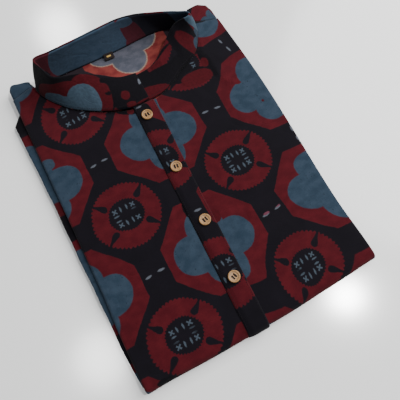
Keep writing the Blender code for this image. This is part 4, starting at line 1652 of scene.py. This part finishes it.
def build_button_threads(finish):
    """Two bars of dark thread over each button's four holes."""
    lines = []
    for x, y, turn in BUTTONS:
        centre = settled((x, y, STACK + 2 * PLACKET_LAYER + BUTTON_SEAT))
        spin = Matrix.Rotation(math.radians(turn), 2)
        for side in (-1, 1):
            for strand in THREAD_STRANDS:
                line = []
                for k in range(9):
                    t = -1 + k / 4
                    flat = spin @ Vector((side * BUTTON_HOLE_SPREAD + strand, t * BUTTON_HOLE_SPREAD))
                    rise = BUTTON_FACE + 0.32 - 1.1 * max(0.0, abs(t) - 0.55) ** 1.5 * 2
                    line.append(centre + Vector((flat.x, flat.y, rise)))
                lines.append(line)
    guide = guide_along("button_threads", lines)
    guide.data.bevel_depth = THREAD_RADIUS * MM
    guide.data.bevel_resolution = 2
    guide.data.use_fill_caps = True
    made = as_mesh("button_threads", guide)
    made.data.materials.clear()
    made.data.materials.append(finish)
    finished(made, None)


def build_label(finish):
    """The size label, sewn into the back neck seam and leaning forward off the band. It is bare."""
    foot = STACK - 1.2 + 0.35 + 1.0
    line = ((356.2, foot + 2.8), (355.2, foot + 1.9), (354.0, foot + 1.2), (352.6, foot + 0.7))
    line += ((351.2, foot + 0.35), (350.0, foot + 0.1), (349.2, foot - 0.1))
    rows, prints = [], []
    for j, (y, z) in enumerate(line):
        row = []
        for x in spaced(LABEL_X - LABEL_HALF, LABEL_X + LABEL_HALF, 12):
            row.append(settled((x, y, z + 0.25 * math.cos((x - LABEL_X) / 3.0))))
        rows.append(row)
        prints.append([(p.x - LABEL_X, j * 1.2) for p in row])
    made = cloth("size_label_tape", rows, prints, [finish, finish], wall=THIN_CLOTH)
    finished(made, "size_label")


# ---------------------------------------------------------------- room

TABLE_HALF, TABLE_Z = 4, -0.0004
LAMPS = (
    # name, place in metres, size, power; each is aimed at the middle of the table
    ("right_downlight", (0.885, -0.336, 2.2), 0.15, 33.0),
    ("far_downlight", (0.128, 2.225, 2.2), 0.32, 14.0),
    ("left_downlight", (-0.528, 0.040, 2.2), 0.30, 9.0),
    ("window_light", (1.65, 0.35, 1.5), 1.8, 70.0),
)
# The camera's focal length in pixels of a frame this wide, its turn as an axis times an angle,
# and its place.
CAMERA_FOCUS, CAMERA_WIDTH = 440.689, 400.0
CAMERA_TURN = Vector((2.73521153, -0.689373123, 0.142874347))
CAMERA_PLACE = (-80.5, 12.2, 443.6 + STACK)


def build_room():
    """A pale glossy table top, soft light from above and the camera."""
    mesh = bpy.data.meshes.new("table_top")
    corners = [(TABLE_HALF * x, TABLE_HALF * y, TABLE_Z) for x, y in ((-1, -1), (1, -1), (1, 1), (-1, 1))]
    mesh.from_pydata(corners, [], [(0, 1, 2, 3)])
    made, _, shader = new_material("white_table")
    shader.inputs["Base Color"].default_value = (0.80, 0.80, 0.79, 1.0)
    shader.inputs["Roughness"].default_value = 0.14
    mesh.materials.append(made)
    table = placed("table_top", mesh)

    for name, place, size, power in LAMPS:
        light = bpy.data.lights.new(name, "AREA")
        light.shape, light.size, light.energy = "DISK", size, power
        holder = placed(name, light)
        holder.location = place
        holder.rotation_mode = "QUATERNION"
        holder.rotation_quaternion = (-Vector(place)).to_track_quat("-Z", "Y")

    room = bpy.data.worlds.new("room")
    bpy.context.scene.world = room
    room.use_nodes = True
    glow = room.node_tree.nodes["Background"]
    glow.inputs["Color"].default_value = (0.93, 0.96, 1.0, 1.0)
    glow.inputs["Strength"].default_value = 0.32

    lens = bpy.data.cameras.new("camera")
    lens.sensor_width = 36.0
    lens.lens = 36.0 * CAMERA_FOCUS / CAMERA_WIDTH
    lens.clip_start = 0.01
    camera = placed("camera", lens)
    seen = Matrix.Rotation(CAMERA_TURN.length, 3, CAMERA_TURN)
    camera.rotation_mode = "QUATERNION"
    camera.rotation_quaternion = (
        seen.transposed() @ Matrix.Diagonal((1.0, -1.0, -1.0))
    ).to_quaternion()
    camera.location = world(CAMERA_PLACE)
    bpy.context.scene.camera = camera


block = block_print()
print_side = cloth_finish("block_printed_cotton", block, 0)
wrong_side = cloth_finish("block_printed_cotton_wrong_side", block, 1)
front_side = cloth_finish(
    "block_printed_cotton_front", block, 0, FRONT_FLOWER, FRONT_BLOTS, tucked=True
)
sleeve_side = cloth_finish("block_printed_cotton_sleeve", block, 0, SLEEVE_FLOWER, SLEEVE_BLOTS)
placket_side = cloth_finish("block_printed_cotton_placket", block, 0, PLACKET_FLOWER, PLACKET_BLOTS)
band_side = cloth_finish(
    "block_printed_cotton_band", block, 0, blots=on_band(BAND_BLOTS, inner=False)
)
# The inside of the collar band gets painted fill light: its colours are painted lighter to stand in for
# light that doesn't reach inside the collar.
inner_band_painted_fill_side = cloth_finish(
    "block_printed_cotton_inner_band_painted_fill",
    block,
    0,
    blots=on_band(INNER_BAND_BLOTS, inner=True),
    washed=True,
)
wood = wood_finish()
dark_thread = thread_finish("dark_sewing_thread", (0.010, 0.008, 0.010))
pale_thread = thread_finish("grey_sewing_thread", (0.017, 0.016, 0.020))

build_hidden_layers([print_side, wrong_side])
build_front([front_side, wrong_side])
build_back([print_side, wrong_side])
build_sleeve("sleeve_right_cloth", "sleeve_right", LEFT_SLEEVE_EDGE, -1, [sleeve_side, wrong_side])
build_sleeve("sleeve_left_cloth", "sleeve_left", RIGHT_SLEEVE_EDGE, 1, [print_side, wrong_side])
build_plackets([placket_side, wrong_side], [print_side, wrong_side])
band = build_collar([band_side, band_side], [inner_band_painted_fill_side, inner_band_painted_fill_side])
for number, (x, y, turn) in enumerate(BUTTONS, start=1):
    build_button(number, x, y, turn, wood)
build_button_threads(dark_thread)
build_label(label_finish())
upper_edges = [placket_line(PLACKET, inset, upper_lift) for inset in (2.0, -2.0)]
sew("placket_stitching", upper_edges, dark_thread)
sew("under_placket_stitching", [placket_line(UNDER_PLACKET, -1.8, under_lift)], pale_thread)
sew("collar_seam_stitching", [band_stitch_line(band, 2.4, 3, -3)], dark_thread)
build_room()
